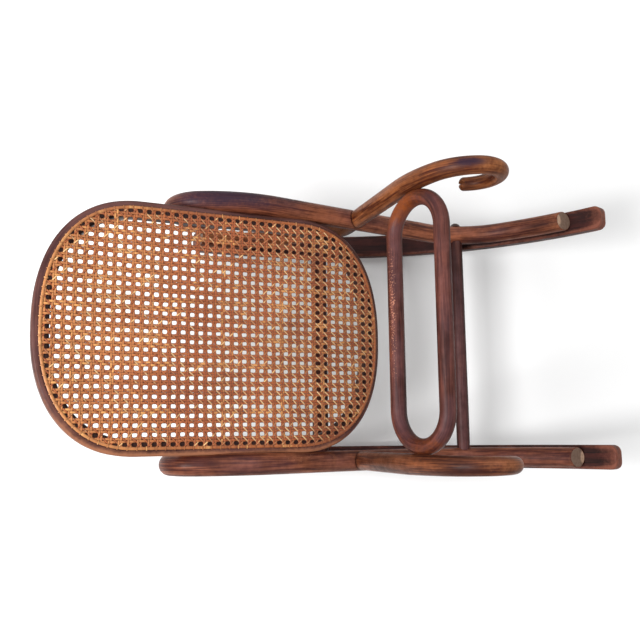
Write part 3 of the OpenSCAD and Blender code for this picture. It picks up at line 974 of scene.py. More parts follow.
def add_object(name: str, data: bpy.types.ID) -> Piece:
    """Adds an object at the origin.

    Args:
        name: Its name.
        data: Its mesh, light or camera.

    Returns:
        The object.
    """
    made = bpy.data.objects.new(name, data)
    bpy.context.scene.collection.objects.link(made)
    return made


def store_numbers(piece: Piece, name: str, values: np.ndarray) -> None:
    """Stores one number for each point of a piece.

    Args:
        piece: The piece.
        name: The attribute's name.
        values: The numbers.
    """
    piece.data.attributes.new(name, "FLOAT", "POINT").data.foreach_set("value", values)


def adopt(piece: Piece, slot: str, *nodes: str) -> None:
    """Gives a finished piece to its body.

    Args:
        piece: The piece.
        slot: Its material slot; not used.
        nodes: The CAD nodes that it stands for.
    """
    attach(piece, BODY)
    if nodes:
        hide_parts(*nodes)
    log.info("%s: %d faces, stands for %s", piece.name, len(piece.data.polygons), nodes or "no node")


@dataclass(frozen=True)
class RodEnd:
    """The finish of one end of a rod."""

    cut: EndCut
    bevel: float = 0.0015
    lean: float = 0.0
    dome: float = 0.7

    def rings(self, radius: float) -> list[Pair]:
        """Works out the rings beyond the rod's last one.

        Args:
            radius: The rod's radius at this end.

        Returns:
            The rings, as (distance beyond the last, radius).
        """
        if self.cut is EndCut.ROUNDED:
            angles = [math.radians(a) for a in END_ROUNDING]
            return [(radius * math.sin(a) * self.dome, radius * math.cos(a)) for a in angles]
        face = radius - self.bevel
        angles = [math.radians(a) for a in END_BEVEL]
        soft = [(self.bevel * math.sin(a), radius - self.bevel * (1 - math.cos(a))) for a in angles]
        return soft + [(self.bevel, face * share) for share in END_FACE]

    @property
    def sawn(self) -> int:
        """Number of bands of faces at the end that show end grain."""
        return len(END_FACE) if self.cut is EndCut.SAWN else 0


@dataclass(frozen=True)
class Lap:
    """The straight rod that another is halved into, and the tight seam that this leaves."""

    centre: np.ndarray
    heading: np.ndarray
    radius: float
    depth: float = 0.0008
    width: float = 0.0009

    def seam(self, points: np.ndarray) -> np.ndarray:
        """Tells how close points are to the straight rod's surface.

        Args:
            points: Points as an array whose last axis is X, Y, Z.

        Returns:
            1 on the surface, and less away from it.
        """
        off = points - self.centre
        off = off - (off @ self.heading)[..., None] * self.heading
        gap = np.linalg.norm(off, axis=-1) - self.radius
        return np.exp(-((gap / self.width) ** 2))


@dataclass
class Rod:
    """A round rod along a smooth line, with a radius, two ends and its rubbed places."""

    centres: np.ndarray
    tangents: np.ndarray
    sides: np.ndarray
    runs: np.ndarray
    radii: np.ndarray
    rubs: tuple[Rub, ...] = ()
    looped: bool = False
    start: RodEnd | None = None
    end: RodEnd | None = None
    around: int = 36
    seed: float = 0.0
    lap: Lap | None = None
    split: float = 0.0
    split_half: float = 0.0022
    uneven: float = 0.00012
    uneven_scale: float = 14.0
    full_share: float = 0.6
    grain_drift: float = 0.37

    def _stretch(self) -> tuple[np.ndarray, ...]:
        """Adds the rings of both ends to the rod's own.

        Returns:
            The centres, tangents, sides, runs, radii and leans.
        """
        centres, tangents, sides = list(self.centres), list(self.tangents), list(self.sides)
        runs, radii, leans = list(self.runs), list(self.radii), [0.0] * len(self.runs)
        for end, at, sign in ((self.start, 0, -1.0), (self.end, -1, 1.0)):
            if end is None:
                continue
            lean = math.tan(math.radians(end.lean)) * sign
            base, tangent, side = centres[at], tangents[at], sides[at]
            leans[at] = lean
            for ahead, radius in end.rings(radii[at]):
                where = 0 if sign < 0 else len(centres)
                centres.insert(where, base + tangent * ahead * sign)
                tangents.insert(where, tangent)
                sides.insert(where, side)
                runs.insert(where, self.runs[at] + ahead * sign)
                radii.insert(where, radius)
                leans.insert(where, lean)
        return tuple(np.array(part) for part in (centres, tangents, sides, runs, radii, leans))

    def _marks(self, outward: np.ndarray, runs: np.ndarray) -> dict[str, np.ndarray]:
        """Spreads the rubbed places over the rod.

        Args:
            outward: The direction outwards at each point.
            runs: The length along the rod at each ring.

        Returns:
            Each mark's strength at each point.
        """
        marks = {WEAR: np.zeros(outward.shape[:2])}
        for rub in self.rubs:
            facing = np.array(rub.facing) / max(np.linalg.norm(rub.facing), 1e-9)
            turned = np.clip(outward @ facing, 0.0, 1.0) ** rub.focus if any(rub.facing) else 1.0
            near = np.exp(-(((runs - rub.run) / rub.spread) ** 2))[:, None]
            marks[rub.mark] = marks.get(rub.mark, 0.0) + rub.amount * near * turned
        return marks

    def skin(self) -> Skin:
        """Wraps rings of points round the rod, with its grain and its marks.

        Returns:
            The skin.
        """
        centres, tangents, sides, runs, radii, leans = self._stretch()
        tops = np.cross(sides, tangents)
        angle = np.arange(self.around) * 2 * math.pi / self.around
        cos, sin = np.cos(angle)[None, :, None], np.sin(angle)[None, :, None]
        outward = tops[:, None, :] * cos + sides[:, None, :] * sin
        waves = [noise.noise(Vector((run * self.uneven_scale, self.seed, 0.0))) for run in runs]
        body = self.uneven * np.array(waves)
        reach = (radii + body * (radii > radii.max() * self.full_share))[:, None, None]
        along = leans[:, None, None] * reach * cos
        points = centres[:, None, :] + outward * reach + tangents[:, None, :] * along
        fibre = np.abs(runs - runs.max() / 2) if self.looped else runs
        grain = np.stack(
            [
                np.broadcast_to(fibre[:, None], outward.shape[:2]) + self.seed,
                (reach * cos)[..., 0] + self.seed * self.grain_drift,
                (reach * sin)[..., 0],
            ],
            axis=-1,
        )
        marks = self._marks(outward, runs)
        if self.lap:
            seam = self.lap.seam(points)
            marks[SEAM] = marks.get(SEAM, 0.0) + seam
            points -= outward * (seam * self.lap.depth)[..., None]
        if self.split:
            ahead = (runs > self.runs[-1] - 1e-9)[:, None]
            off = np.abs(points[..., 1] - self.centres[-1][1])
            back = ahead * np.clip(1 - off / self.split_half, 0.0, 1.0) * self.split
            points -= tangents[:, None, :] * back[..., None]
        sawn = (self.start.sawn if self.start else 0, self.end.sawn if self.end else 0)
        return Skin(points, grain, marks, self.looped, sawn)


@dataclass(frozen=True)
class FrameLine:
    """A rod's middle line on a side frame's plane."""

    start: Spot
    moves: tuple[Move, ...]
    lap_reach: float = 0.032
    lap_step: float = 0.0008
    lap_margin: float = 0.0005
    tries: int = 800

    @property
    def length(self) -> float:
        """Whole length of the line."""
        return sum(move.length for move in self.moves)

    def spot(self, run: float) -> Spot:
        """Finds a spot on the line.

        Args:
            run: The length along the line.

        Returns:
            The spot.
        """
        here = self.start
        for move in self.moves:
            if run <= move.length + 1e-9:
                return here.after(move, run / move.length)
            here = here.after(move)
            run -= move.length
        return here

    def after(self, count: int) -> float:
        """Returns the length at the end of the first moves."""
        return sum(move.length for move in self.moves[:count])

    def nearest(self, x: float, z: float) -> float:
        """Finds where the line comes nearest to a place on the plane.

        Args:
            x: The place's X.
            z: The place's height.

        Returns:
            The length along the line.
        """
        runs = np.linspace(0.0, self.length, self.tries)
        spots = [self.spot(run) for run in runs]
        return float(runs[int(np.argmin([math.hypot(spot.x - x, spot.z - z) for spot in spots]))])

    def rod(
        self,
        rocker: Rocker,
        y: float,
        radius: Callable[[float], float],
        step: float,
        fine: float,
        **more: object,
    ) -> Rod:
        """Shapes the rod along this line.

        Args:
            rocker: The rocker that the footstool rests on.
            y: The side frame's Y.
            radius: The rod's radius at a length along it.
            step: Distance between rings.
            fine: Length along it round which the rings are close together.
            more: The rod's ends, rubs and seed.

        Returns:
            The rod.
        """
        coarse = np.linspace(0.0, self.length, math.ceil(self.length / step) + 1)
        close = np.arange(fine - self.lap_reach, fine + self.lap_reach, self.lap_step)
        apart = np.abs(coarse - fine) > self.lap_reach + self.lap_margin
        runs = np.sort(np.concatenate([coarse[apart], close]))
        spots = [self.spot(run) for run in runs]
        centres = rocker.rest(np.array([[spot.x, y, spot.z] for spot in spots]))
        headings = np.radians([spot.heading for spot in spots])
        zero = np.zeros(len(runs))
        tangents = rocker.turned(np.stack([np.cos(headings), zero, np.sin(headings)], axis=-1))
        sides = np.tile([0.0, -1.0, 0.0], (len(runs), 1))
        radii = np.array([radius(run) for run in runs])
        return Rod(centres, tangents, sides, runs, radii, **more)


# Sub-assemblies


@dataclass
class SideRods:
    """The seat rails and the scroll rails of both side frames."""

    rocker: Rocker
    frame_y: float = 0.182
    rail_r: float = 0.015
    rail_foot_r: float = 0.507
    rail_foot_end: float = 41.5
    rail_foot_arc: float = 12.5
    rail_bend_r: float = 0.110
    rail_slope: float = 34.0
    rail_run: float = 0.286
    shoulder_bend_r: float = 0.185
    curl_bend_r: float = 0.046
    curl_turn: float = 206.0
    scroll_r: float = 0.0135
    crown_r: float = 0.0115
    tip_r: float = 0.009
    scroll_foot_r: float = 0.5085
    scroll_foot_end: float = 28.5
    scroll_foot_arc: float = 3.5
    low_bend_r: float = 0.090
    low_slope: float = 20.6
    low_run: float = 0.111
    heel_bend_r: float = 0.072
    steep_slope: float = 69.5
    steep_run: float = 0.190
    neck_bend_r: float = 0.220
    neck_slope: float = 50.0
    crown_bend_r: float = 0.066
    nose_bend_r: float = 0.033
    nose_turn: float = 90.0
    hook_bend_r: float = 0.041
    hook_turn: float = 88.0
    crossing: Pair = (0.010266, 0.18269)
    step: float = 0.003

    def rail_line(self) -> FrameLine:
        """Draws the seat rail: foot, bend, straight run, shoulder and curl.

        Returns:
            The line.
        """
        foot = self.rocker.spot(self.rail_foot_r, self.rail_foot_end)
        moves = (
            Move(self.rail_foot_r, -self.rail_foot_arc),
            Move(self.rail_bend_r, -(self.rail_foot_end - self.rail_foot_arc + self.rail_slope)),
            Move(0, self.rail_run),
            Move(self.shoulder_bend_r, self.rail_slope),
            Move(self.curl_bend_r, self.curl_turn),
        )
        return FrameLine(Spot(foot.x, foot.z, foot.heading + 180), moves)

    def scroll_line(self) -> FrameLine:
        """Draws the scroll rail: foot, low run, steep run, neck, crown, nose and hook.

        Returns:
            The line.
        """
        moves = (
            Move(self.scroll_foot_r, self.scroll_foot_arc),
            Move(self.low_bend_r, self.scroll_foot_end - self.scroll_foot_arc + self.low_slope),
            Move(0, self.low_run),
            Move(self.heel_bend_r, self.steep_slope - self.low_slope),
            Move(0, self.steep_run),
            Move(self.neck_bend_r, self.neck_slope - self.steep_slope),
            Move(self.crown_bend_r, -self.neck_slope),
            Move(self.nose_bend_r, -self.nose_turn),
            Move(self.hook_bend_r, -self.hook_turn),
        )
        return FrameLine(self.rocker.spot(self.scroll_foot_r, -self.scroll_foot_end), moves)

    def lap(self, heading: float, radius: float, side: Side) -> Lap:
        """Places the lap at the crossing of one side frame.

        Args:
            heading: The other rod's heading in degrees.
            radius: The other rod's radius.
            side: The side frame.

        Returns:
            The lap.
        """
        a = math.radians(heading)
        centre = self.rocker.rest(np.array([self.crossing[0], side.value * self.frame_y, self.crossing[1]]))
        return Lap(centre, self.rocker.turned(np.array([math.cos(a), 0.0, math.sin(a)])), radius)

    def rail(self, side: Side) -> Rod:
        """Shapes one seat rail.

        Args:
            side: The side frame.

        Returns:
            The rail.
        """
        line = self.rail_line()
        top = line.after(2)
        rubs = [
            Rub(0.0, 0.02, (0, 0, 0), 0.3),
            Rub(top + 0.03, 0.08, (0.3, 0, 1), 0.3),
            Rub(line.length * 0.93, 0.06, (-1, 0, 0.4), 0.3),
            Rub(top + 0.25, 0.16, (0, -side.value, 0), 0.3),
        ]
        if side is Side.RIGHT:
            rubs.append(Rub(top + 0.25, 0.06, (0, 0.6, 1), 1.0, FLECK, 3.0))
            rubs.append(Rub(top + 0.2, 0.15, (0, -0.5, 1), 0.32))
        else:
            rubs.append(Rub(0.05, 0.05, (0, 0, 1), 0.2))
            rubs.append(Rub(line.after(3) + 0.07, 0.1, (0, 0.3, 1), 0.85, STAIN))
        return line.rod(
            self.rocker,
            side.value * self.frame_y,
            lambda run: self.rail_r,
            self.step,
            line.nearest(*self.crossing),
            rubs=tuple(rubs),
            seed=0.05 * side.value,
            start=RodEnd(EndCut.SAWN, bevel=0.0012, lean=16.0),
            end=RodEnd(EndCut.SAWN),
            lap=self.lap(self.steep_slope, self.scroll_r, side),
        )

    def scroll(self, side: Side) -> Rod:
        """Shapes one scroll rail.

        Args:
            side: The side frame.

        Returns:
            The rail.
        """
        line = self.scroll_line()
        neck, crown = line.after(5), line.after(7)
        marks = [0.0, neck, crown, line.length]
        radii = [self.scroll_r, self.scroll_r, self.crown_r, self.tip_r]
        rubs = [
            Rub(crown + 0.02, 0.05, (0.4, 0, 1), 0.5),
            Rub(crown + 0.075, 0.035, (1, 0, 0), 0.45),
            Rub(neck - 0.06, 0.07, (0.5, -side.value, 0.6), 0.3),
            Rub(line.length - 0.01, 0.02, (-0.2, 0, 1), 0.3),
            Rub(0.0, 0.02, (0, 0, 1), 0.2),
        ]
        crossing = line.nearest(*self.crossing)
        if side is Side.LEFT:
            rubs.append(Rub(crown - 0.014, 0.021, (0, 0.1, 1), 1.0, STAIN, 5.0))
        else:
            # Darkens the near scroll all round a little past the crossing.
            rubs.append(Rub(crossing + 0.115, 0.045, (0, 0, 0), 0.6, SEAM))
        return line.rod(
            self.rocker,
            side.value * self.frame_y,
            lambda run: float(np.interp(run, marks, radii)),
            self.step,
            crossing,
            rubs=tuple(rubs),
            seed=1.0 + 0.05 * side.value,
            start=RodEnd(EndCut.SAWN),
            end=RodEnd(EndCut.ROUNDED),
            lap=self.lap(180 - self.rail_slope, self.rail_r, side),
            split=0.004 if side is Side.LEFT else 0.0,
        )

    def build(self, finishes: Finishes) -> None:
        """Makes the four rods.

        Args:
            finishes: The footstool's finishes.
        """
        for side in Side:
            woods = [finishes.rail_wood, finishes.sawn]
            rail = self.rail(side).skin().build(f"rail_rod_{side.word}", woods)
            adopt(rail, "dark_wood", f"seat_rail_{side.word}")
            woods = [finishes.scroll_wood if side is Side.LEFT else finishes.near_wood, finishes.sawn]
            scroll = self.scroll(side).skin().build(f"scroll_rod_{side.word}", woods)
            adopt(scroll, "dark_wood", f"scroll_rail_{side.word}")


@dataclass
class CrossPieces:
    """The scroll loop and the two stretchers, which join the side frames."""

    rocker: Rocker
    loop_x: float = 0.084197
    loop_z: float = 0.362494
    loop_end_r: float = 0.046
    loop_r: float = 0.0105
    loop_limb: float = 0.11428
    loop_slant: float = 55.0
    loop_step: float = 0.0032
    front: Pair = (0.180399, 0.08314)
    front_r: float = 0.0105
    front_half: float = 0.170
    rear: Pair = (-0.04785, 0.112756)
    rear_r: float = 0.0125
    rear_half: float = 0.1715
    bar_rings: int = 90
    bar_taper: float = 0.0004
    bar_taper_power: int = 6

    def loop_rod(self) -> Rod:
        """Shapes the closed loop, a ring with two straight limbs in a slanted plane.

        Returns:
            The loop.
        """
        straight = 2 * self.loop_limb
        bend = math.pi * self.loop_end_r
        whole = 2 * (straight + bend)
        runs = np.linspace(0.0, whole, round(whole / self.loop_step), endpoint=False)
        flat, facing = [], []
        for run in runs:
            half = 0 if run < whole / 2 else 1
            part = run - half * whole / 2
            sign = 1 - 2 * half
            if part < straight:
                flat.append((sign * self.loop_end_r, sign * (part - self.loop_limb)))
                facing.append((0.0, float(sign)))
            else:
                a = (part - straight) / self.loop_end_r
                aside, beyond = self.loop_end_r * math.cos(a), self.loop_end_r * math.sin(a)
                flat.append((sign * aside, sign * (self.loop_limb + beyond)))
                facing.append((-sign * math.sin(a), sign * math.cos(a)))
        slant = math.radians(self.loop_slant)
        over = np.array([math.cos(slant), 0.0, math.sin(slant)])
        square = np.array([-math.sin(slant), 0.0, math.cos(slant)])
        flat, facing = np.array(flat), np.array(facing)
        centres = flat[:, :1] * over + flat[:, 1:] * ACROSS + np.array([self.loop_x, 0.0, self.loop_z])
        tangents = facing[:, :1] * over + facing[:, 1:] * ACROSS
        sides = np.tile(self.rocker.turned(square), (len(runs), 1))
        limb = straight + bend + straight / 2
        rubs = (
            Rub(straight + bend / 2 + 0.015, 0.05, (0, 0, 0), 0.65),
            Rub(whole - bend / 2, 0.055, (0, 0, 0), 0.45),
            Rub(limb, 0.12, (-1, 0, 0.3), 0.3),
            Rub(limb - 0.02, 0.13, (-0.7, 0, 1), 1.0, FLECK, 4.0),
        )
        radii = np.full(len(runs), self.loop_r)
        places, headings = self.rocker.rest(centres), self.rocker.turned(tangents)
        return Rod(places, headings, sides, runs, radii, rubs=rubs, looped=True, seed=3.1)

    def bar(self, place: Pair, radius: float, half: float, seed: float) -> Rod:
        """Shapes a straight bar between the side frames.

        Args:
            place: Its X and height before the footstool is turned to rest.
            radius: Its radius.
            half: Half its length.
            seed: A number that sets its grain apart.

        Returns:
            The bar.
        """
        runs = np.linspace(-half, half, self.bar_rings)
        zero = np.zeros(len(runs))
        centres = self.rocker.rest(np.stack([zero + place[0], runs, zero + place[1]], axis=-1))
        tangents = np.tile(ACROSS, (len(runs), 1))
        sides = np.tile([1.0, 0.0, 0.0], (len(runs), 1))
        shape = radius - self.bar_taper * (np.abs(runs) / half) ** self.bar_taper_power
        rubs = (Rub(0.0, 0.08, (0, 0, 1), 0.2),)
        sawn = RodEnd(EndCut.SAWN, bevel=0.0008)
        return Rod(centres, tangents, sides, runs, shape, rubs=rubs, start=sawn, end=sawn, seed=seed)

    def build(self, finishes: Finishes) -> None:
        """Makes the loop and both stretchers.

        Args:
            finishes: The footstool's finishes.
        """
        adopt(self.loop_rod().skin().build("loop_rod", [finishes.loop_wood]), "dark_wood", "scroll_loop")
        woods = [finishes.bar_wood, finishes.sawn]
        front = self.bar(self.front, self.front_r, self.front_half, seed=4.4)
        adopt(front.skin().build("front_bar", woods), "dark_wood", "front_stretcher")
        rear = self.bar(self.rear, self.rear_r, self.rear_half, seed=5.3)
        adopt(rear.skin().build("rear_bar", woods), "dark_wood", "rear_stretcher")


@dataclass
class Runners:
    """The two curved runners: flat bent strips with rounded ends."""

    rocker: Rocker
    frame_y: float = 0.182
    width: float = 0.036
    thickness: float = 0.018
    back: float = 29.0
    front: float = 47.5
    corner: float = 0.011
    edge: float = 0.0025
    rings: int = 220
    end_rings: int = 12
    corner_points: int = 5
    flat_parts: tuple[int, ...] = (6, 3, 6, 3)
    end_narrowing: float = 0.6
    edge_limit: float = 0.98
    grain_start: float = 7.0
    edge_wear: float = 0.6
    edge_wear_power: int = 4
    tip_wear: float = 0.6
    tip_spread: float = 0.03
    heel_wear: float = 0.7
    heel_spread: float = 0.02
    outer_wear: float = 0.55
    inner_wear: float = 0.4
    sole_wear: float = 0.15

    def half_width(self, left: float) -> float:
        """Works out the half width near an end.

        Args:
            left: Distance from the nearer end.

        Returns:
            The half width.
        """
        if left >= self.corner:
            return self.width / 2
        inside = self.corner - left
        return self.width / 2 - self.corner + math.sqrt(max(self.corner**2 - inside**2, 0.0))

    def section(self, half_w: float, half_t: float, edge: float) -> list[Triple]:
        """Draws the rounded section.

        Args:
            half_w: Half its width.
            half_t: Half its thickness.
            edge: Radius of its edges.

        Returns:
            Points as (across, up, how close to an edge).
        """
        points: list[Triple] = []
        corners = ((1, 1), (-1, 1), (-1, -1), (1, -1))

        def on_corner(n: int, degrees: float) -> Pair:
            """Finds a point on one rounded corner.

            Args:
                n: The corner's number, counted on past the last one.
                degrees: Direction of the point from the rounding's middle.

            Returns:
                The point as (across, up).
            """
            a = math.radians(degrees)
            sx, sy = corners[n % 4]
            return sx * (half_w - edge) + edge * math.cos(a), sy * (half_t - edge) + edge * math.sin(a)

        for n, count in enumerate(self.flat_parts):
            for k in range(self.corner_points):
                points.append((*on_corner(n, 90 * n + 90 * k / (self.corner_points - 1)), 1.0))
            last, goal = points[-1], on_corner(n + 1, 90 * (n + 1))
            for k in range(1, count):
                share = k / count
                across, up = (a + (b - a) * share for a, b in zip(last, goal))
                points.append((across, up, abs(2 * share - 1) ** self.edge_wear_power * self.edge_wear))
        return points

    def skin(self, side: Side) -> Skin:
        """Wraps the section along one runner.

        Args:
            side: The side frame.

        Returns:
            The skin.
        """
        middle = self.rocker.radius - self.thickness / 2
        low, high = -math.radians(self.back) * middle, math.radians(self.front) * middle
        plain = np.linspace(low + self.corner, high - self.corner, self.rings)
        ease = 1 - np.cos(np.linspace(0, math.pi / 2, self.end_rings))
        start, end = low + self.corner * ease[:-1], high - self.corner * ease[::-1][1:]
        runs = np.concatenate([start, plain, end])
        points, grain, wear = [], [], []
        for run in runs:
            left = min(run - low, high - run)
            bite = max(0.0, self.edge - left)
            lost = self.edge - math.sqrt(max(self.edge**2 - bite**2, 0.0))
            half_w = self.half_width(left) - lost * self.end_narrowing
            half_t = self.thickness / 2 - lost
            edge_r = min(self.edge, half_t * self.edge_limit, half_w * self.edge_limit)
            ring = self.section(half_w, half_t, edge_r)
            angle = run / middle
            heel = self.heel_wear * math.exp(-(((run - low) / self.heel_spread) ** 2))
            tip = math.exp(-(((high - run) / self.tip_spread) ** 2)) + heel
            for across, up, edge in ring:
                radius = middle - up
                x, z = radius * math.sin(angle), self.rocker.height - radius * math.cos(angle)
                points.append((x, side.value * self.frame_y + across, z))
                grain.append((run + self.grain_start + side.value, across, up))
                edges = edge * (self.outer_wear if across < 0 else self.inner_wear)
                wear.append(edges + tip * self.tip_wear + (self.sole_wear if up < 0 else 0.0))
        shape = (len(runs), -1, 3)
        placed = self.rocker.rest(np.array(points))
        placed[:, 2] = np.maximum(placed[:, 2], 0.0)
        marks = {WEAR: np.array(wear).reshape(len(runs), -1)}
        return Skin(placed.reshape(shape), np.array(grain).reshape(shape), marks)

    def build(self, finishes: Finishes) -> None:
        """Makes both runners.

        Args:
            finishes: The footstool's finishes.
        """
        for side in Side:
            piece = self.skin(side).build(f"runner_strip_{side.word}", [finishes.runner_wood])
            adopt(piece, "dark_wood", f"runner_{side.word}")


@dataclass
class SeatPlan:
    """The seat's outline and surface, drawn flat, then bent and laid on its slope."""

    rocker: Rocker
    origin_x: float = -0.404453
    origin_z: float = 0.387702
    slope: float = 25.0
    length: float = 0.494
    half: float = 0.169
    high_end: float = 0.135
    low_end: float = 0.140
    squareness: float = 2.3
    flat: float = 0.380
    bend_r: float = 0.455
    ring_w: float = 0.022
    ring_t: float = 0.025
    ring_edge: float = 0.005
    holes_in: float = 0.0105
    quarter_points: int = 200
    outline_points: int = 1600

    def axes(self) -> tuple[np.ndarray, np.ndarray, np.ndarray]:
        """Finds how the seat lies once the footstool rests.

        Returns:
            The high end's place, the direction along the flat part and the one square to it.
        """
        a = math.radians(self.slope)
        along = self.rocker.turned(np.array([math.cos(a), 0.0, -math.sin(a)]))
        square = self.rocker.turned(np.array([math.sin(a), 0.0, math.cos(a)]))
        return self.rocker.rest(np.array([self.origin_x, 0.0, self.origin_z])), along, square

    def place(self, flat: np.ndarray) -> np.ndarray:
        """Bends flat points and lays them on the slope.

        Args:
            flat: Points as an array whose last axis is along, across, above.

        Returns:
            The points as X, Y, Z.
        """
        origin, along, square = self.axes()
        turn = np.maximum(flat[..., 0] - self.flat, 0.0) / self.bend_r
        reach = self.bend_r + flat[..., 2]
        run = np.minimum(flat[..., 0], self.flat) + reach * np.sin(turn)
        rise = reach * np.cos(turn) - self.bend_r
        return origin + run[..., None] * along + flat[..., 1:2] * ACROSS + rise[..., None] * square

    def _quarter(self, centre: float, end: float, sx: float, sy: float, turns: np.ndarray) -> np.ndarray:
        """Draws one rounded quarter of the outline.

        Args:
            centre: Where along the seat it starts.
            end: How far along it reaches.
            sx: Its direction along the seat, 1 or -1.
            sy: Its direction across the seat, 1 or -1.
            turns: The angles of its points, from 0 to a quarter turn.

        Returns:
            The points as (along, across).
        """
        along = centre + sx * end * np.sin(turns) ** (2 / self.squareness)
        across = sy * self.half * np.cos(turns) ** (2 / self.squareness)
        return np.stack([along, across], axis=-1)

    def outline(self, count: int, inset: float = 0.0) -> tuple[np.ndarray, np.ndarray]:
        """Draws the outline, moved inwards by an inset, as evenly spaced points.

        Args:
            count: Number of points.
            inset: Distance inwards.

        Returns:
            The points, and the direction inwards at each.
        """
        up = np.linspace(0.0, math.pi / 2, self.quarter_points)
        down = up[::-1]
        low, high = self.length - self.low_end, self.high_end
        loop = np.concatenate(
            [
                self._quarter(low, self.low_end, 1, 1, up),
                self._quarter(low, self.low_end, 1, -1, down),
                self._quarter(high, self.high_end, -1, -1, up),
                self._quarter(high, self.high_end, -1, 1, down),
            ]
        )
        loop, inward = self._even(loop, self.outline_points)
        return self._even(loop + inward * inset, count)

    @staticmethod
    def _even(loop: np.ndarray, count: int) -> tuple[np.ndarray, np.ndarray]:
        """Spaces the points of a closed line evenly.

        Args:
            loop: The line's points.
            count: Number of even points.

        Returns:
            The even points, and the direction inwards at each.
        """
        closed = np.vstack([loop, loop[:1]])
        steps = np.linalg.norm(np.diff(closed, axis=0), axis=1)
        far = np.concatenate([[0.0], np.cumsum(steps)])
        marks = np.linspace(0.0, far[-1], count, endpoint=False)
        even = np.stack([np.interp(marks, far, closed[:, n]) for n in range(2)], axis=-1)
        heading = np.roll(even, -1, axis=0) - np.roll(even, 1, axis=0)
        heading /= np.linalg.norm(heading, axis=1)[:, None]
        return even, np.stack([heading[:, 1], -heading[:, 0]], axis=-1)


@dataclass
class SeatHoop:
    """The steam-bent ring that the cane is strung on."""

    plan: SeatPlan
    stations: int = 520
    corner_points: int = 6
    top_step: float = 0.0015
    side_step: float = 0.003
    edge_wear: float = 0.25
    edge_spread: float = 0.004
    edge_low: float = -0.008
    # Painted light on the near side of the ring, where the light falls.
    near_wear: float = 0.55
    near_spread: float = 0.011
    near_low: float = -0.01
    grain_start: float = 11.0
    # Painted shade on the ring's top under the cane.
    cane_shade: float = 0.85
    cane_from: float = 0.0128
    cane_above: float = 0.006

    def section(self) -> list[Pair]:
        """Draws the section.

        Returns:
            Points as (inwards, above).
        """
        plan = self.plan
        edge = plan.ring_edge
        points: list[Pair] = []
        for sx, sy, turn in ((1, 1, 0), (0, 1, 90), (0, 0, 180), (1, 0, 270)):
            x = plan.ring_w - edge if sx else edge
            y = plan.ring_t / 2 - edge if sy else edge - plan.ring_t / 2
            for k in range(self.corner_points):
                a = math.radians(turn + 90 * k / (self.corner_points - 1))
                points.append((x + edge * math.cos(a), y + edge * math.sin(a)))
            if sy and sx:
                middle, top = plan.ring_w / 2, plan.ring_t / 2
                points += [(middle + n * self.top_step, top) for n in (3, 2, 1, 0, -1, -2)]
            if sy and not sx:
                points += [(0.0, n * self.side_step) for n in (1, 0, -1)]
        return points

    def build(self, finishes: Finishes) -> None:
        """Makes the ring.

        Args:
            finishes: The footstool's finishes.
        """
        line, inward = self.plan.outline(self.stations)
        section = self.section()
        around = np.linalg.norm(line - np.roll(line, 1, axis=0), axis=1).cumsum()
        rings = zip(line, inward)
        flat = np.array([[(*(p + n * inset), above) for inset, above in section] for p, n in rings])
        starts = around + self.grain_start
        grain = np.array([[(run, inset, above) for inset, above in section] for run in starts])
        inset, above = np.array(section).T
        # The outer edge is rubbed all round; painted light doubles it on the near side of the ring and adds
        # a lighter band beside it.
        outer = self.edge_wear * np.exp(-((inset / self.edge_spread) ** 2)) * (above > self.edge_low)
        band = self.near_wear * np.exp(-((inset / self.near_spread) ** 2)) * (above > self.near_low)
        near_side = np.clip(inward[:, 1], 0.0, 1.0) ** 2
        wear = outer[None, :] + (outer + band)[None, :] * near_side[:, None]
        # Painted shade: the ring's top under the cane is darkened, where the cane shades it.
        under_cane = self.cane_shade * ((inset > self.cane_from) & (above > self.cane_above))
        marks = {WEAR: wear, SEAM: np.tile(under_cane, (len(line), 1))}
        skin = Skin(self.plan.place(flat), grain, marks, looped=True)
        adopt(skin.build("seat_hoop", [finishes.seat_wood]), "seat_wood", "seat_ring")


# Geometry Nodes


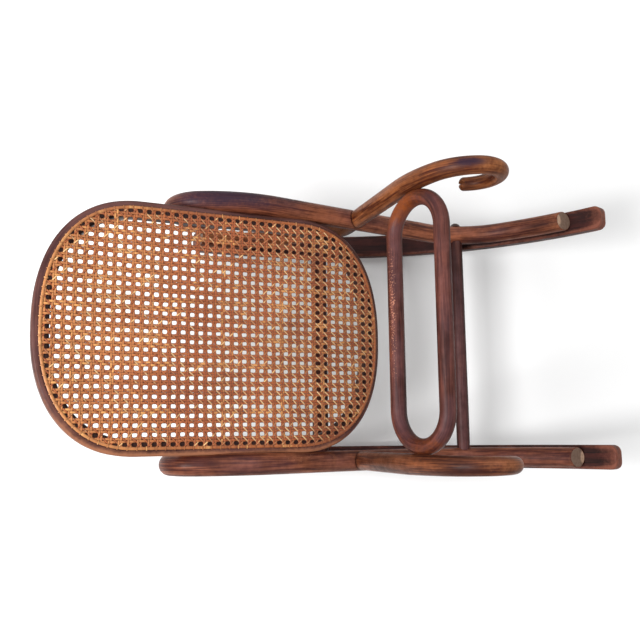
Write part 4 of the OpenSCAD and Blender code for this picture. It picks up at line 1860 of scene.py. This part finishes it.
class GrowthTree:
    """A Geometry Nodes tree with named inputs, whose result becomes a plain mesh."""

    def __init__(self, name: str, inputs: dict[str, object]) -> None:
        """Makes the tree's interface.

        Args:
            name: The tree's name.
            inputs: The default of each named input.
        """
        self.tree = bpy.data.node_groups.new(name, "GeometryNodeTree")
        face = self.tree.interface
        face.new_socket(name="Geometry", in_out="INPUT", socket_type="NodeSocketGeometry")
        face.new_socket(name="Geometry", in_out="OUTPUT", socket_type="NodeSocketGeometry")
        self.names: dict[str, str] = {}
        for label, value in inputs.items():
            kind = next(socket for base, socket in SOCKETS.items() if isinstance(value, base))
            socket = face.new_socket(name=label, in_out="INPUT", socket_type=kind)
            self.names[label] = socket.identifier
        self.defaults = inputs
        self.graph = Graph(self.tree)
        self.source = self.graph.add("NodeGroupInput")

    def given(self, label: str) -> Wire:
        """Returns one input as a wire."""
        return self.graph.out(self.source, label)

    def finish(self, geometry: Wire) -> None:
        """Ends the tree in Realize Instances, smooth shading and Set Material.

        Args:
            geometry: What the tree has made.
        """
        graph = self.graph
        real = graph.add("GeometryNodeRealizeInstances", {0: geometry})
        smooth = graph.add("GeometryNodeSetShadeSmooth", {0: real.outputs[0]})
        inputs = {0: smooth.outputs[0], "Material": self.given("Material")}
        dressed = graph.add("GeometryNodeSetMaterial", inputs)
        graph.add("NodeGroupOutput", {0: dressed.outputs[0]})

    def grow(self, name: str, seed: bpy.types.Mesh, values: dict[str, object]) -> Piece:
        """Runs the tree on a mesh and keeps the result.

        Args:
            name: The piece's name.
            seed: The mesh that the tree starts from.
            values: The named inputs that differ from their defaults.

        Returns:
            The finished object, at the origin, without the modifier.
        """
        carrier = add_object(f"{name}_carrier", seed)
        modifier = carrier.modifiers.new("growth", "NODES")
        modifier.node_group = self.tree
        for label, value in {**self.defaults, **values}.items():
            modifier[self.names[label]] = value
        carrier.update_tag()
        bpy.context.view_layer.update()
        evaluated = carrier.evaluated_get(bpy.context.evaluated_depsgraph_get())
        mesh = bpy.data.meshes.new_from_object(evaluated)
        mesh.name = name
        bpy.data.objects.remove(carrier)
        bpy.data.meshes.remove(seed)
        return add_object(name, mesh)


SEAT_INPUTS = ("Length", "Half", "High End", "Low End", "Squareness", "Flat", "Bend Radius")
STRAND_SIDES = 6


def seat_inputs(plan: SeatPlan) -> dict[str, object]:
    """Gathers the seat's sizes and place.

    Args:
        plan: The seat's plan.

    Returns:
        A tree's named inputs.
    """
    origin, along, square = plan.axes()
    sizes = (plan.length, plan.half, plan.high_end, plan.low_end, plan.squareness, plan.flat, plan.bend_r)
    places = {"Origin": tuple(origin), "Along": tuple(along), "Square": tuple(square)}
    return dict(zip(SEAT_INPUTS, sizes)) | places


def laid_on_seat(tree: GrowthTree, geometry: Wire) -> Wire:
    """Adds the nodes that bend flat geometry and lay it on the seat's slope.

    Args:
        tree: The tree.
        geometry: The flat geometry.

    Returns:
        The geometry in its place.
    """
    graph = tree.graph
    along, across, above = graph.parts(graph.position())
    turn = (along - tree.given("Flat")).over(0.0) / tree.given("Bend Radius")
    reach = tree.given("Bend Radius") + above
    run = along.under(tree.given("Flat")) + reach * graph.math("SINE", turn)
    rise = reach * graph.math("COSINE", turn) - tree.given("Bend Radius")
    flat_run = graph.plus(tree.given("Origin"), graph.times(tree.given("Along"), run))
    risen = graph.plus(flat_run, graph.times(tree.given("Square"), rise))
    place = graph.plus(risen, graph.vector(0.0, across, 0.0))
    return graph.out(graph.add("GeometryNodeSetPosition", {"Geometry": geometry, "Position": place}))


def inside_seat(tree: GrowthTree, margin: Wire | float) -> Wire:
    """Adds the nodes that tell how far inside the outline a point is.

    Args:
        tree: The tree.
        margin: Distance in from the outline.

    Returns:
        1 in the middle of the seat, 0 on the outline moved in by the margin, and less beyond it.
    """
    graph = tree.graph
    along, across, _ = graph.parts(graph.position())
    length, low, high = tree.given("Length"), tree.given("Low End"), tree.given("High End")
    past = (high - along).over(along - (length - low)).over(0.0)
    near = graph.math("LESS_THAN", along, length * 0.5)
    end = low + near * (high - low)
    power = tree.given("Squareness")
    sides = (graph.math("ABSOLUTE", across) / (tree.given("Half") - margin)) ** power
    return 1.0 - (past / (end - margin)) ** power - sides


def stored(graph: Graph, geometry: Wire, name: str, value: Wire | float, domain: str = "POINT") -> Wire:
    """Adds the node that stores a number on geometry.

    Args:
        graph: The tree's graph.
        geometry: The geometry.
        name: The number's name.
        value: The number.
        domain: What it is stored on.

    Returns:
        The geometry with the number.
    """
    inputs = {"Geometry": geometry, "Name": name, "Value": value}
    node = graph.add("GeometryNodeStoreNamedAttribute", inputs, data_type="FLOAT", domain=domain)
    return graph.out(node)


def realized_strands(tree: GrowthTree, strands: Wire) -> Wire:
    """Adds the nodes that give each strand a random number of its own and make it real.

    Args:
        tree: The tree, with an input named Seed.
        strands: The strands as instances.

    Returns:
        The strands.
    """
    graph = tree.graph
    index = graph.add("GeometryNodeInputIndex").outputs[0]
    drawn = {"ID": index, "Seed": tree.given("Seed")}
    chance = graph.add("FunctionNodeRandomValue", drawn, data_type="FLOAT")
    tinted = stored(graph, strands, STRAND, graph.out(chance, 1), "INSTANCE")
    return graph.out(graph.add("GeometryNodeRealizeInstances", {0: tinted}))


def cane_swept(tree: GrowthTree, curve: Wire) -> Wire:
    """Adds the nodes that sweep split cane along a curve, with its flat side up.

    Args:
        tree: The tree, with inputs named Width and Thickness.
        curve: The curve.

    Returns:
        The swept cane.
    """
    graph = tree.graph
    circle = graph.add("GeometryNodeCurvePrimitiveCircle", {"Resolution": STRAND_SIDES, "Radius": 0.5})
    across, _, _ = graph.parts(graph.position())
    # The edge number lets the finish paint shade along each strand's edges.
    marked = stored(graph, graph.out(circle), EDGE, graph.math("ABSOLUTE", across) * 2.0)
    scale = graph.vector(tree.given("Width"), tree.given("Thickness"), 1.0)
    profile = graph.add("GeometryNodeTransform", {"Geometry": marked, "Scale": scale})
    upright = graph.add("GeometryNodeSetCurveNormal", {0: curve}, mode="Z_UP")
    inputs = {"Curve": upright.outputs[0], "Profile Curve": profile.outputs[0], "Fill Caps": True}
    return graph.out(graph.add("GeometryNodeCurveToMesh", inputs))


@dataclass
class CaneSeat:
    """The six-way woven cane."""

    plan: SeatPlan
    pitch: float = 0.0123
    apart: float = 0.0015
    width: float = 0.00305
    slant_width: float = 0.0022
    long_apart: float = 0.00178
    long_width: float = 0.0036
    wander: float = 0.0028
    thickness: float = 0.0006
    weave: float = 0.00034
    slant_weave: float = 0.00062
    height: float = 0.0139
    sag: float = 0.0050
    segment: float = 0.00105
    wave_gain: float = 1.5
    hold_gain: float = 17.0
    wander_scale: float = 45.0
    border: float = 0.8
    cross_seed: int = 19
    up_seed: int = 31
    down_seed: int = 43

    def tree(self, material: Material) -> GrowthTree:
        """Builds the tree that strings one way of the cane.

        Args:
            material: The finish of the first four ways.

        Returns:
            The tree.
        """
        inputs: dict[str, object] = {
            "Material": material,
            "First": (0.0, 0.0, 0.0),
            "Step": (0.0, 0.0, 0.0),
            "Count": 1,
            "Half Run": (0.0, 0.0, 0.0),
            "Segments": 10,
            "Wave Axis": (0.0, 0.0, 0.0),
            "Phase": 0.0,
            "Rise": 0.0,
            "Width": self.width,
            "Thickness": self.thickness,
            "Height": self.height,
            "Sag": self.sag,
            "Wander": self.wander,
            "Holes In": self.plan.holes_in,
            "Ring Width": self.plan.ring_w,
            "Seed": 7,
        }
        tree = GrowthTree("cane_way", inputs | seat_inputs(self.plan))
        graph = tree.graph
        strand = self._strands(tree)
        inner = inside_seat(tree, tree.given("Holes In"))
        outside = {"Geometry": strand, "Selection": graph.math("LESS_THAN", inner, 0.0)}
        cut = graph.add("GeometryNodeDeleteGeometry", outside, domain="POINT")
        where = graph.position()
        x, y, _ = graph.parts(where)
        axis = {0: where, 1: tree.given("Wave Axis")}
        dot = graph.add("ShaderNodeVectorMath", axis, operation="DOT_PRODUCT")
        cycles = graph.out(dot, "Value") + tree.given("Phase")
        wave = graph.math("SINE", cycles * (2 * math.pi)) * self.wave_gain
        lift = wave.over(-1.0).under(1.0)
        held = (inner * self.hold_gain).within()
        hollow = inside_seat(tree, tree.given("Ring Width")).over(0.0)
        height = tree.given("Height") + lift * tree.given("Rise") * held - hollow * tree.given("Sag")
        sign = graph.math("SIGN", tree.given("Rise"))
        length = graph.add("GeometryNodeSplineParameter")
        # The lift also sets the painted shade where a strand dips.
        strung = stored(graph, graph.out(cut), LIFT, lift * sign)
        strung = stored(graph, strung, RUN, graph.out(length, "Length"))
        sway = tree.given("Wander") * held
        spots = [graph.vector(x, y, key) for key in (3.7, 0.0)]
        strayed = [(graph.noise(spot, self.wander_scale, detail=1.0) - 0.5) * sway for spot in spots]
        offset = {"Geometry": strung, "Offset": graph.vector(*strayed, height)}
        shifted = graph.out(graph.add("GeometryNodeSetPosition", offset))
        tree.finish(laid_on_seat(tree, cane_swept(tree, shifted)))
        return tree

    @staticmethod
    def _strands(tree: GrowthTree) -> Wire:
        """Adds the nodes that lay straight strands side by side.

        Args:
            tree: The tree.

        Returns:
            The strands as curves.
        """
        graph = tree.graph
        spacing = {"Count": "Count", "Start Location": "First", "Offset": "Step"}
        rows = {socket: tree.given(label) for socket, label in spacing.items()}
        line = graph.out(graph.add("GeometryNodeMeshLine", rows, mode="OFFSET"))
        ends = {"Start": graph.times(tree.given("Half Run"), -1.0), "End": tree.given("Half Run")}
        strand = graph.out(graph.add("GeometryNodeCurvePrimitiveLine", ends))
        segments = {"Curve": strand, "Count": tree.given("Segments")}
        fine = graph.out(graph.add("GeometryNodeResampleCurve", segments))
        laid = graph.add("GeometryNodeInstanceOnPoints", {"Points": line, "Instance": fine})
        return realized_strands(tree, graph.out(laid))

    def values(self, way: Way) -> dict[str, object]:
        """Works out the inputs that differ from way to way.

        Args:
            way: The way of the cane.

        Returns:
            The tree's named inputs.
        """
        plan, pitch = self.plan, self.pitch
        middle = plan.length / 2
        rows = round(plan.half / pitch - self.border)
        columns = round(middle / pitch - self.border)
        half_long, half_cross = plan.length / 2, plan.half
        sign = -1.0 if way in (Way.LONG_UNDER, Way.CROSS_UNDER) else 1.0
        if way in (Way.LONG_UNDER, Way.LONG_OVER):
            return {
                "First": (middle, -rows * pitch + sign * self.long_apart, 0.0),
                "Step": (0.0, pitch, 0.0),
                "Count": 2 * rows + 1,
                "Half Run": (half_long, 0.0, 0.0),
                "Segments": round(2 * half_long / self.segment),
                "Wave Axis": (1 / pitch, 0.0, 0.0),
                "Phase": -middle / pitch,
                "Rise": -sign * self.weave,
                "Width": self.long_width,
            }
        if way in (Way.CROSS_UNDER, Way.CROSS_OVER):
            return {
                "First": (middle - columns * pitch + sign * self.apart, 0.0, 0.0),
                "Step": (pitch, 0.0, 0.0),
                "Count": 2 * columns + 1,
                "Half Run": (0.0, half_cross, 0.0),
                "Segments": round(2 * half_cross / self.segment),
                "Wave Axis": (0.0, 1 / pitch, 0.0),
                "Rise": sign * self.weave,
                "Seed": self.cross_seed,
            }
        lines = round((middle + half_cross) / pitch)
        up = way is Way.SLANT_UP
        return {
            "First": (middle - (lines + 0.5) * pitch, 0.0, 0.0),
            "Step": (pitch, 0.0, 0.0),
            "Count": 2 * lines + 2,
            "Half Run": (half_cross, half_cross if up else -half_cross, 0.0),
            "Segments": round(2 * half_cross * math.sqrt(2) / self.segment),
            "Wave Axis": (1 / pitch, 0.0, 0.0),
            "Phase": 0.25 - middle / pitch,
            "Rise": self.slant_weave if up else -self.slant_weave,
            "Width": self.slant_width,
            "Seed": self.up_seed if up else self.down_seed,
        }

    def build(self, finishes: Finishes) -> None:
        """Strings the six ways.

        Args:
            finishes: The footstool's finishes.
        """
        tree = self.tree(finishes.cane)
        for way in Way:
            values = self.values(way)
            if way in (Way.SLANT_UP, Way.SLANT_DOWN):
                values["Material"] = finishes.slant_up if way is Way.SLANT_UP else finishes.slant_down
            piece = tree.grow(f"cane_{way.value}", bpy.data.meshes.new("seed"), values)
            adopt(piece, "cane", *(("cane_panel",) if way is Way.LONG_UNDER else ()))


@dataclass
class Binder:
    """The flat strip over the holes, and the fine ties that hold it down."""

    plan: SeatPlan
    pitch: float = 0.0123
    width: float = 0.0039
    low: float = 0.0142
    high: float = 0.0156
    tuck: float = 0.0003
    drawn_in: float = 0.14
    drawn_down: float = 0.0003
    shoulder: Pair = (0.66, 0.16)
    flank: float = 0.4
    tie_width: float = 0.0017
    tie_thickness: float = 0.0007
    tie_spare: float = 0.0012
    tie_crown: float = 0.0011
    tie_dip: float = 1.1
    tie_points: int = 8
    tie_seed: int = 3
    trial_points: int = 900
    per_hole: int = 8
    path_per_hole: int = 6
    strip_strand: float = 0.6
    strip_lift: float = 0.8
    tie_lift: float = 0.5

    def holes(self) -> int:
        """Counts the holes round the ring.

        Returns:
            Their number.
        """
        line, _ = self.plan.outline(self.trial_points, self.plan.holes_in)
        round_trip = np.linalg.norm(line - np.roll(line, 1, axis=0), axis=1).sum()
        return round(round_trip / self.pitch)

    def strip(self, holes: int) -> Skin:
        """Wraps the strip, which swells a little between its ties.

        Args:
            holes: Number of holes round the ring.

        Returns:
            The skin.
        """
        line, inward = self.plan.outline(holes * self.per_hole, self.plan.holes_in)
        swell = 0.5 - 0.5 * np.cos(np.arange(len(line)) * 2 * math.pi / self.per_hole)
        rise = self.high - self.low
        part, drop = self.shoulder
        flat, grain = [], []
        for n, (p, to) in enumerate(zip(line, inward)):
            half = self.width / 2 * (1 - self.drawn_in * (1 - swell[n]))
            top = self.high - self.drawn_down * (1 - swell[n])
            foot, side, shoulder = self.low - self.tuck, self.low + rise * self.flank, top - rise * drop
            rights = [(half, foot), (half, side), (half * part, shoulder)]
            ring = rights + [(0.0, top)] + [(-across, above) for across, above in reversed(rights)]
            flat.append([(*(p + to * a), b) for a, b in ring])
            grain.append([(n / self.per_hole * self.pitch, a, b) for a, b in ring])
        return Skin(self.plan.place(np.array(flat)), np.array(grain), {}, looped=True)

    def tie_tree(self, material: Material) -> GrowthTree:
        """Builds the tree that sets one tie over the strip at every hole.

        Args:
            material: The ties' finish.

        Returns:
            The tree.
        """
        inputs: dict[str, object] = {
            "Material": material,
            "Holes": 100,
            "Span": self.width + self.tie_spare,
            "Crown": self.tie_crown,
            "Width": self.tie_width,
            "Thickness": self.tie_thickness,
            "Seed": self.tie_seed,
        }
        tree = GrowthTree("binder_ties", inputs | seat_inputs(self.plan))
        graph = tree.graph
        curve = graph.out(graph.add("GeometryNodeMeshToCurve", {0: tree.given("Geometry")}))
        count = {"Curve": curve, "Count": tree.given("Holes")}
        spread = graph.out(graph.add("GeometryNodeResampleCurve", count))
        half, crown = tree.given("Span") * 0.5, tree.given("Crown")
        bends = {
            "Resolution": self.tie_points,
            "Start": graph.vector(0.0, half * -1.0, crown * -self.tie_dip),
            "Middle": graph.vector(0.0, 0.0, crown),
            "End": graph.vector(0.0, half, crown * -self.tie_dip),
        }
        arch = graph.out(graph.add("GeometryNodeCurveQuadraticBezier", bends))
        tangent = {"Vector": graph.out(graph.add("GeometryNodeInputTangent"))}
        turn = graph.add("FunctionNodeAlignRotationToVector", tangent, axis="X", pivot_axis="Z")
        ties = {"Points": spread, "Instance": cane_swept(tree, arch), "Rotation": graph.out(turn)}
        placed = graph.out(graph.add("GeometryNodeInstanceOnPoints", ties))
        lifted = stored(graph, realized_strands(tree, placed), LIFT, self.tie_lift)
        tree.finish(laid_on_seat(tree, lifted))
        return tree

    def build(self, finishes: Finishes) -> None:
        """Makes the strip and its ties.

        Args:
            finishes: The footstool's finishes.
        """
        holes = self.holes()
        piece = self.strip(holes).build("binder_strip", [finishes.binder])
        points = len(piece.data.vertices)
        store_numbers(piece, STRAND, np.full(points, self.strip_strand))
        store_numbers(piece, LIFT, np.full(points, self.strip_lift))
        runs = np.empty(points * 3)
        piece.data.attributes[GRAIN].data.foreach_get("vector", runs)
        store_numbers(piece, RUN, np.ascontiguousarray(runs[::3]))
        adopt(piece, "binder", "cane_binder")
        line, _ = self.plan.outline(holes * self.path_per_hole, self.plan.holes_in)
        edges = [(n, (n + 1) % len(line)) for n in range(len(line))]
        seed = bpy.data.meshes.new("binder_path")
        seed.from_pydata([(p[0], p[1], self.high) for p in line], edges, [])
        tree = self.tie_tree(finishes.binder)
        adopt(tree.grow("binder_ties", seed, {"Holes": holes}), "binder")


@dataclass
class Fasteners:
    """The bolts and wood screws, which keep their CAD shapes."""

    nodes: dict[str, Piece]

    def build(self, finishes: Finishes) -> None:
        """Gives each its metal.

        Args:
            finishes: The footstool's finishes.
        """
        for name, node in self.nodes.items():
            if "bolt" in name or "screw" in name:
                node.data.materials.clear()
                node.data.materials.append(finishes.iron if "bolt" in name else finishes.steel)
                log.info("%s keeps its CAD shape", name)


@dataclass
class Studio:
    """The pale floor, the soft light and the camera above the footstool."""

    eye: Triple = (-0.0407, -0.1421, 1.3254)
    tilt: float = 8.45
    lean: float = -0.09
    roll: float = -0.70
    lens: float = 42.96
    film: float = 36.0
    far: float = 50.0
    floor: Colour = (0.985, 0.985, 0.985)
    floor_shade: Colour = (0.96, 0.96, 0.96)
    floor_half: float = 9.0
    floor_fade: Pair = (0.9, 1.7)
    floor_rough: float = 0.9
    floor_shine: float = 0.1
    floor_clouds: float = 0.15
    bounce: Colour = (0.5, 0.5, 0.5)
    sky: float = 0.42
    aim: Triple = (0.0, 0.0, 0.15)
    window: Triple = (-1.5, -0.45, 2.15)
    window_size: float = 1.2
    window_power: float = 74.0
    fill: Triple = (1.1, 1.1, 2.3)
    fill_size: float = 1.8
    fill_power: float = 18.5

    def _camera(self) -> None:
        """Sets the camera where the photograph was taken from."""
        t, r = math.radians(self.tilt), math.radians(self.roll)
        ahead = Vector((0.0, math.sin(t), -math.cos(t)))
        right, up = Vector((1.0, 0.0, 0.0)), Vector((0.0, math.cos(t), math.sin(t)))
        level = right * math.cos(r) + up * math.sin(r)
        upward = up * math.cos(r) - right * math.sin(r)
        camera = add_object("photo_camera", bpy.data.cameras.new("photo_camera"))
        camera.data.lens = self.lens
        camera.data.sensor_width = self.film
        camera.data.clip_end = self.far
        facing = Matrix((level, upward, -ahead)).transposed().to_4x4()
        leaned = Matrix.Rotation(math.radians(self.lean), 4, "Y") @ facing
        camera.matrix_world = Matrix.Translation(self.eye) @ leaned
        bpy.context.scene.camera = camera

    @staticmethod
    def _seen(graph: Graph) -> Wire:
        """Tells where the camera sees a surface, straight, in a reflection or through glass.

        Args:
            graph: The material's or the world's graph.

        Returns:
            1 where it is seen, and 0 for all other light.
        """
        path = graph.add("ShaderNodeLightPath")
        seen = graph.out(path, "Is Camera Ray").over(graph.out(path, "Is Glossy Ray"))
        return seen.over(graph.out(path, "Is Transmission Ray"))

    def _floor(self) -> None:
        """Lays the floor, which keeps the footstool's shadow and is clear from below."""
        mesh = bpy.data.meshes.new("studio_floor")
        signs = ((-1, -1), (1, -1), (1, 1), (-1, 1))
        corners = [(x * self.floor_half, y * self.floor_half, 0.0) for x, y in signs]
        mesh.from_pydata(corners, [], [(0, 1, 2, 3)])
        material, graph, shader = new_material("studio_floor_paint")
        place = own_place(graph)
        shade = graph.noise(place, scale=3.0, detail=2.0)
        seen = self._seen(graph)
        pale = graph.mix(shade * self.floor_clouds, self.floor, self.floor_shade)
        x, y, _ = graph.parts(place)
        far = graph.steps(graph.math("SQRT", x * x + y * y), *self.floor_fade)
        lit = graph.mix(seen, self.bounce, pale)
        graph.feed(shader.inputs["Base Color"], graph.mix(far, lit, BLACK))
        graph.feed(shader.inputs["Emission Color"], graph.mix(far, BLACK, WHITE))
        graph.feed(shader.inputs["Emission Strength"], seen)
        shader.inputs["Roughness"].default_value = self.floor_rough
        shader.inputs["Specular IOR Level"].default_value = self.floor_shine
        clear = graph.add("ShaderNodeBsdfTransparent")
        below = graph.out(graph.add("ShaderNodeNewGeometry"), "Backfacing")
        sheet = graph.add("ShaderNodeMixShader", {0: below, 1: shader.outputs[0], 2: clear.outputs[0]})
        graph.feed(graph.tree.nodes["Material Output"].inputs["Surface"], sheet.outputs[0])
        mesh.materials.append(material)
        add_object("studio_floor", mesh)

    def _lamp(self, name: str, place: Triple, size: float, power: float) -> None:
        """Hangs one soft square lamp that faces the footstool.

        Args:
            name: Its name.
            place: Where it hangs.
            size: The length of its sides.
            power: Its power in watts.
        """
        light = bpy.data.lights.new(name, "AREA")
        light.shape = "SQUARE"
        light.size = size
        light.energy = power
        made = add_object(name, light)
        made.location = place
        made.rotation_euler = (Vector(self.aim) - Vector(place)).to_track_quat("-Z", "Y").to_euler()

    def build(self) -> None:
        """Sets up the floor, the lights, the world and the camera."""
        self._camera()
        self._floor()
        self._lamp("window_lamp", self.window, self.window_size, self.window_power)
        self._lamp("fill_lamp", self.fill, self.fill_size, self.fill_power)
        world = bpy.data.worlds.new("studio_air")
        bpy.context.scene.world = world
        world.use_nodes = True
        world.node_tree.nodes.clear()
        graph = Graph(world.node_tree)
        sky = graph.add("ShaderNodeBackground", {"Color": rgba(WHITE)})
        graph.feed(sky.inputs["Strength"], self._seen(graph) * (1.0 - self.sky) + self.sky)
        graph.add("ShaderNodeOutputWorld", {"Surface": sky.outputs[0]})
        bpy.context.scene.view_settings.view_transform = "Standard"


def corners(box: tuple[Vector, Vector]) -> list[list[float]]:
    """Returns a box as plain lists of numbers."""
    return [[float(n) for n in corner] for corner in box]


def main() -> None:
    """Builds the footstool over its frame, piece by piece."""
    logging.basicConfig(level=logging.INFO, format="%(name)s: %(message)s")
    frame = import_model()
    finishes = Finishes()
    rocker = Rocker()
    plan = SeatPlan(rocker)
    SideRods(rocker).build(finishes)
    CrossPieces(rocker).build(finishes)
    Runners(rocker).build(finishes)
    SeatHoop(plan).build(finishes)
    CaneSeat(plan).build(finishes)
    Binder(plan).build(finishes)
    Fasteners(frame["nodes"]).build(finishes)
    Studio().build()


if __name__ == "__main__":
    main()
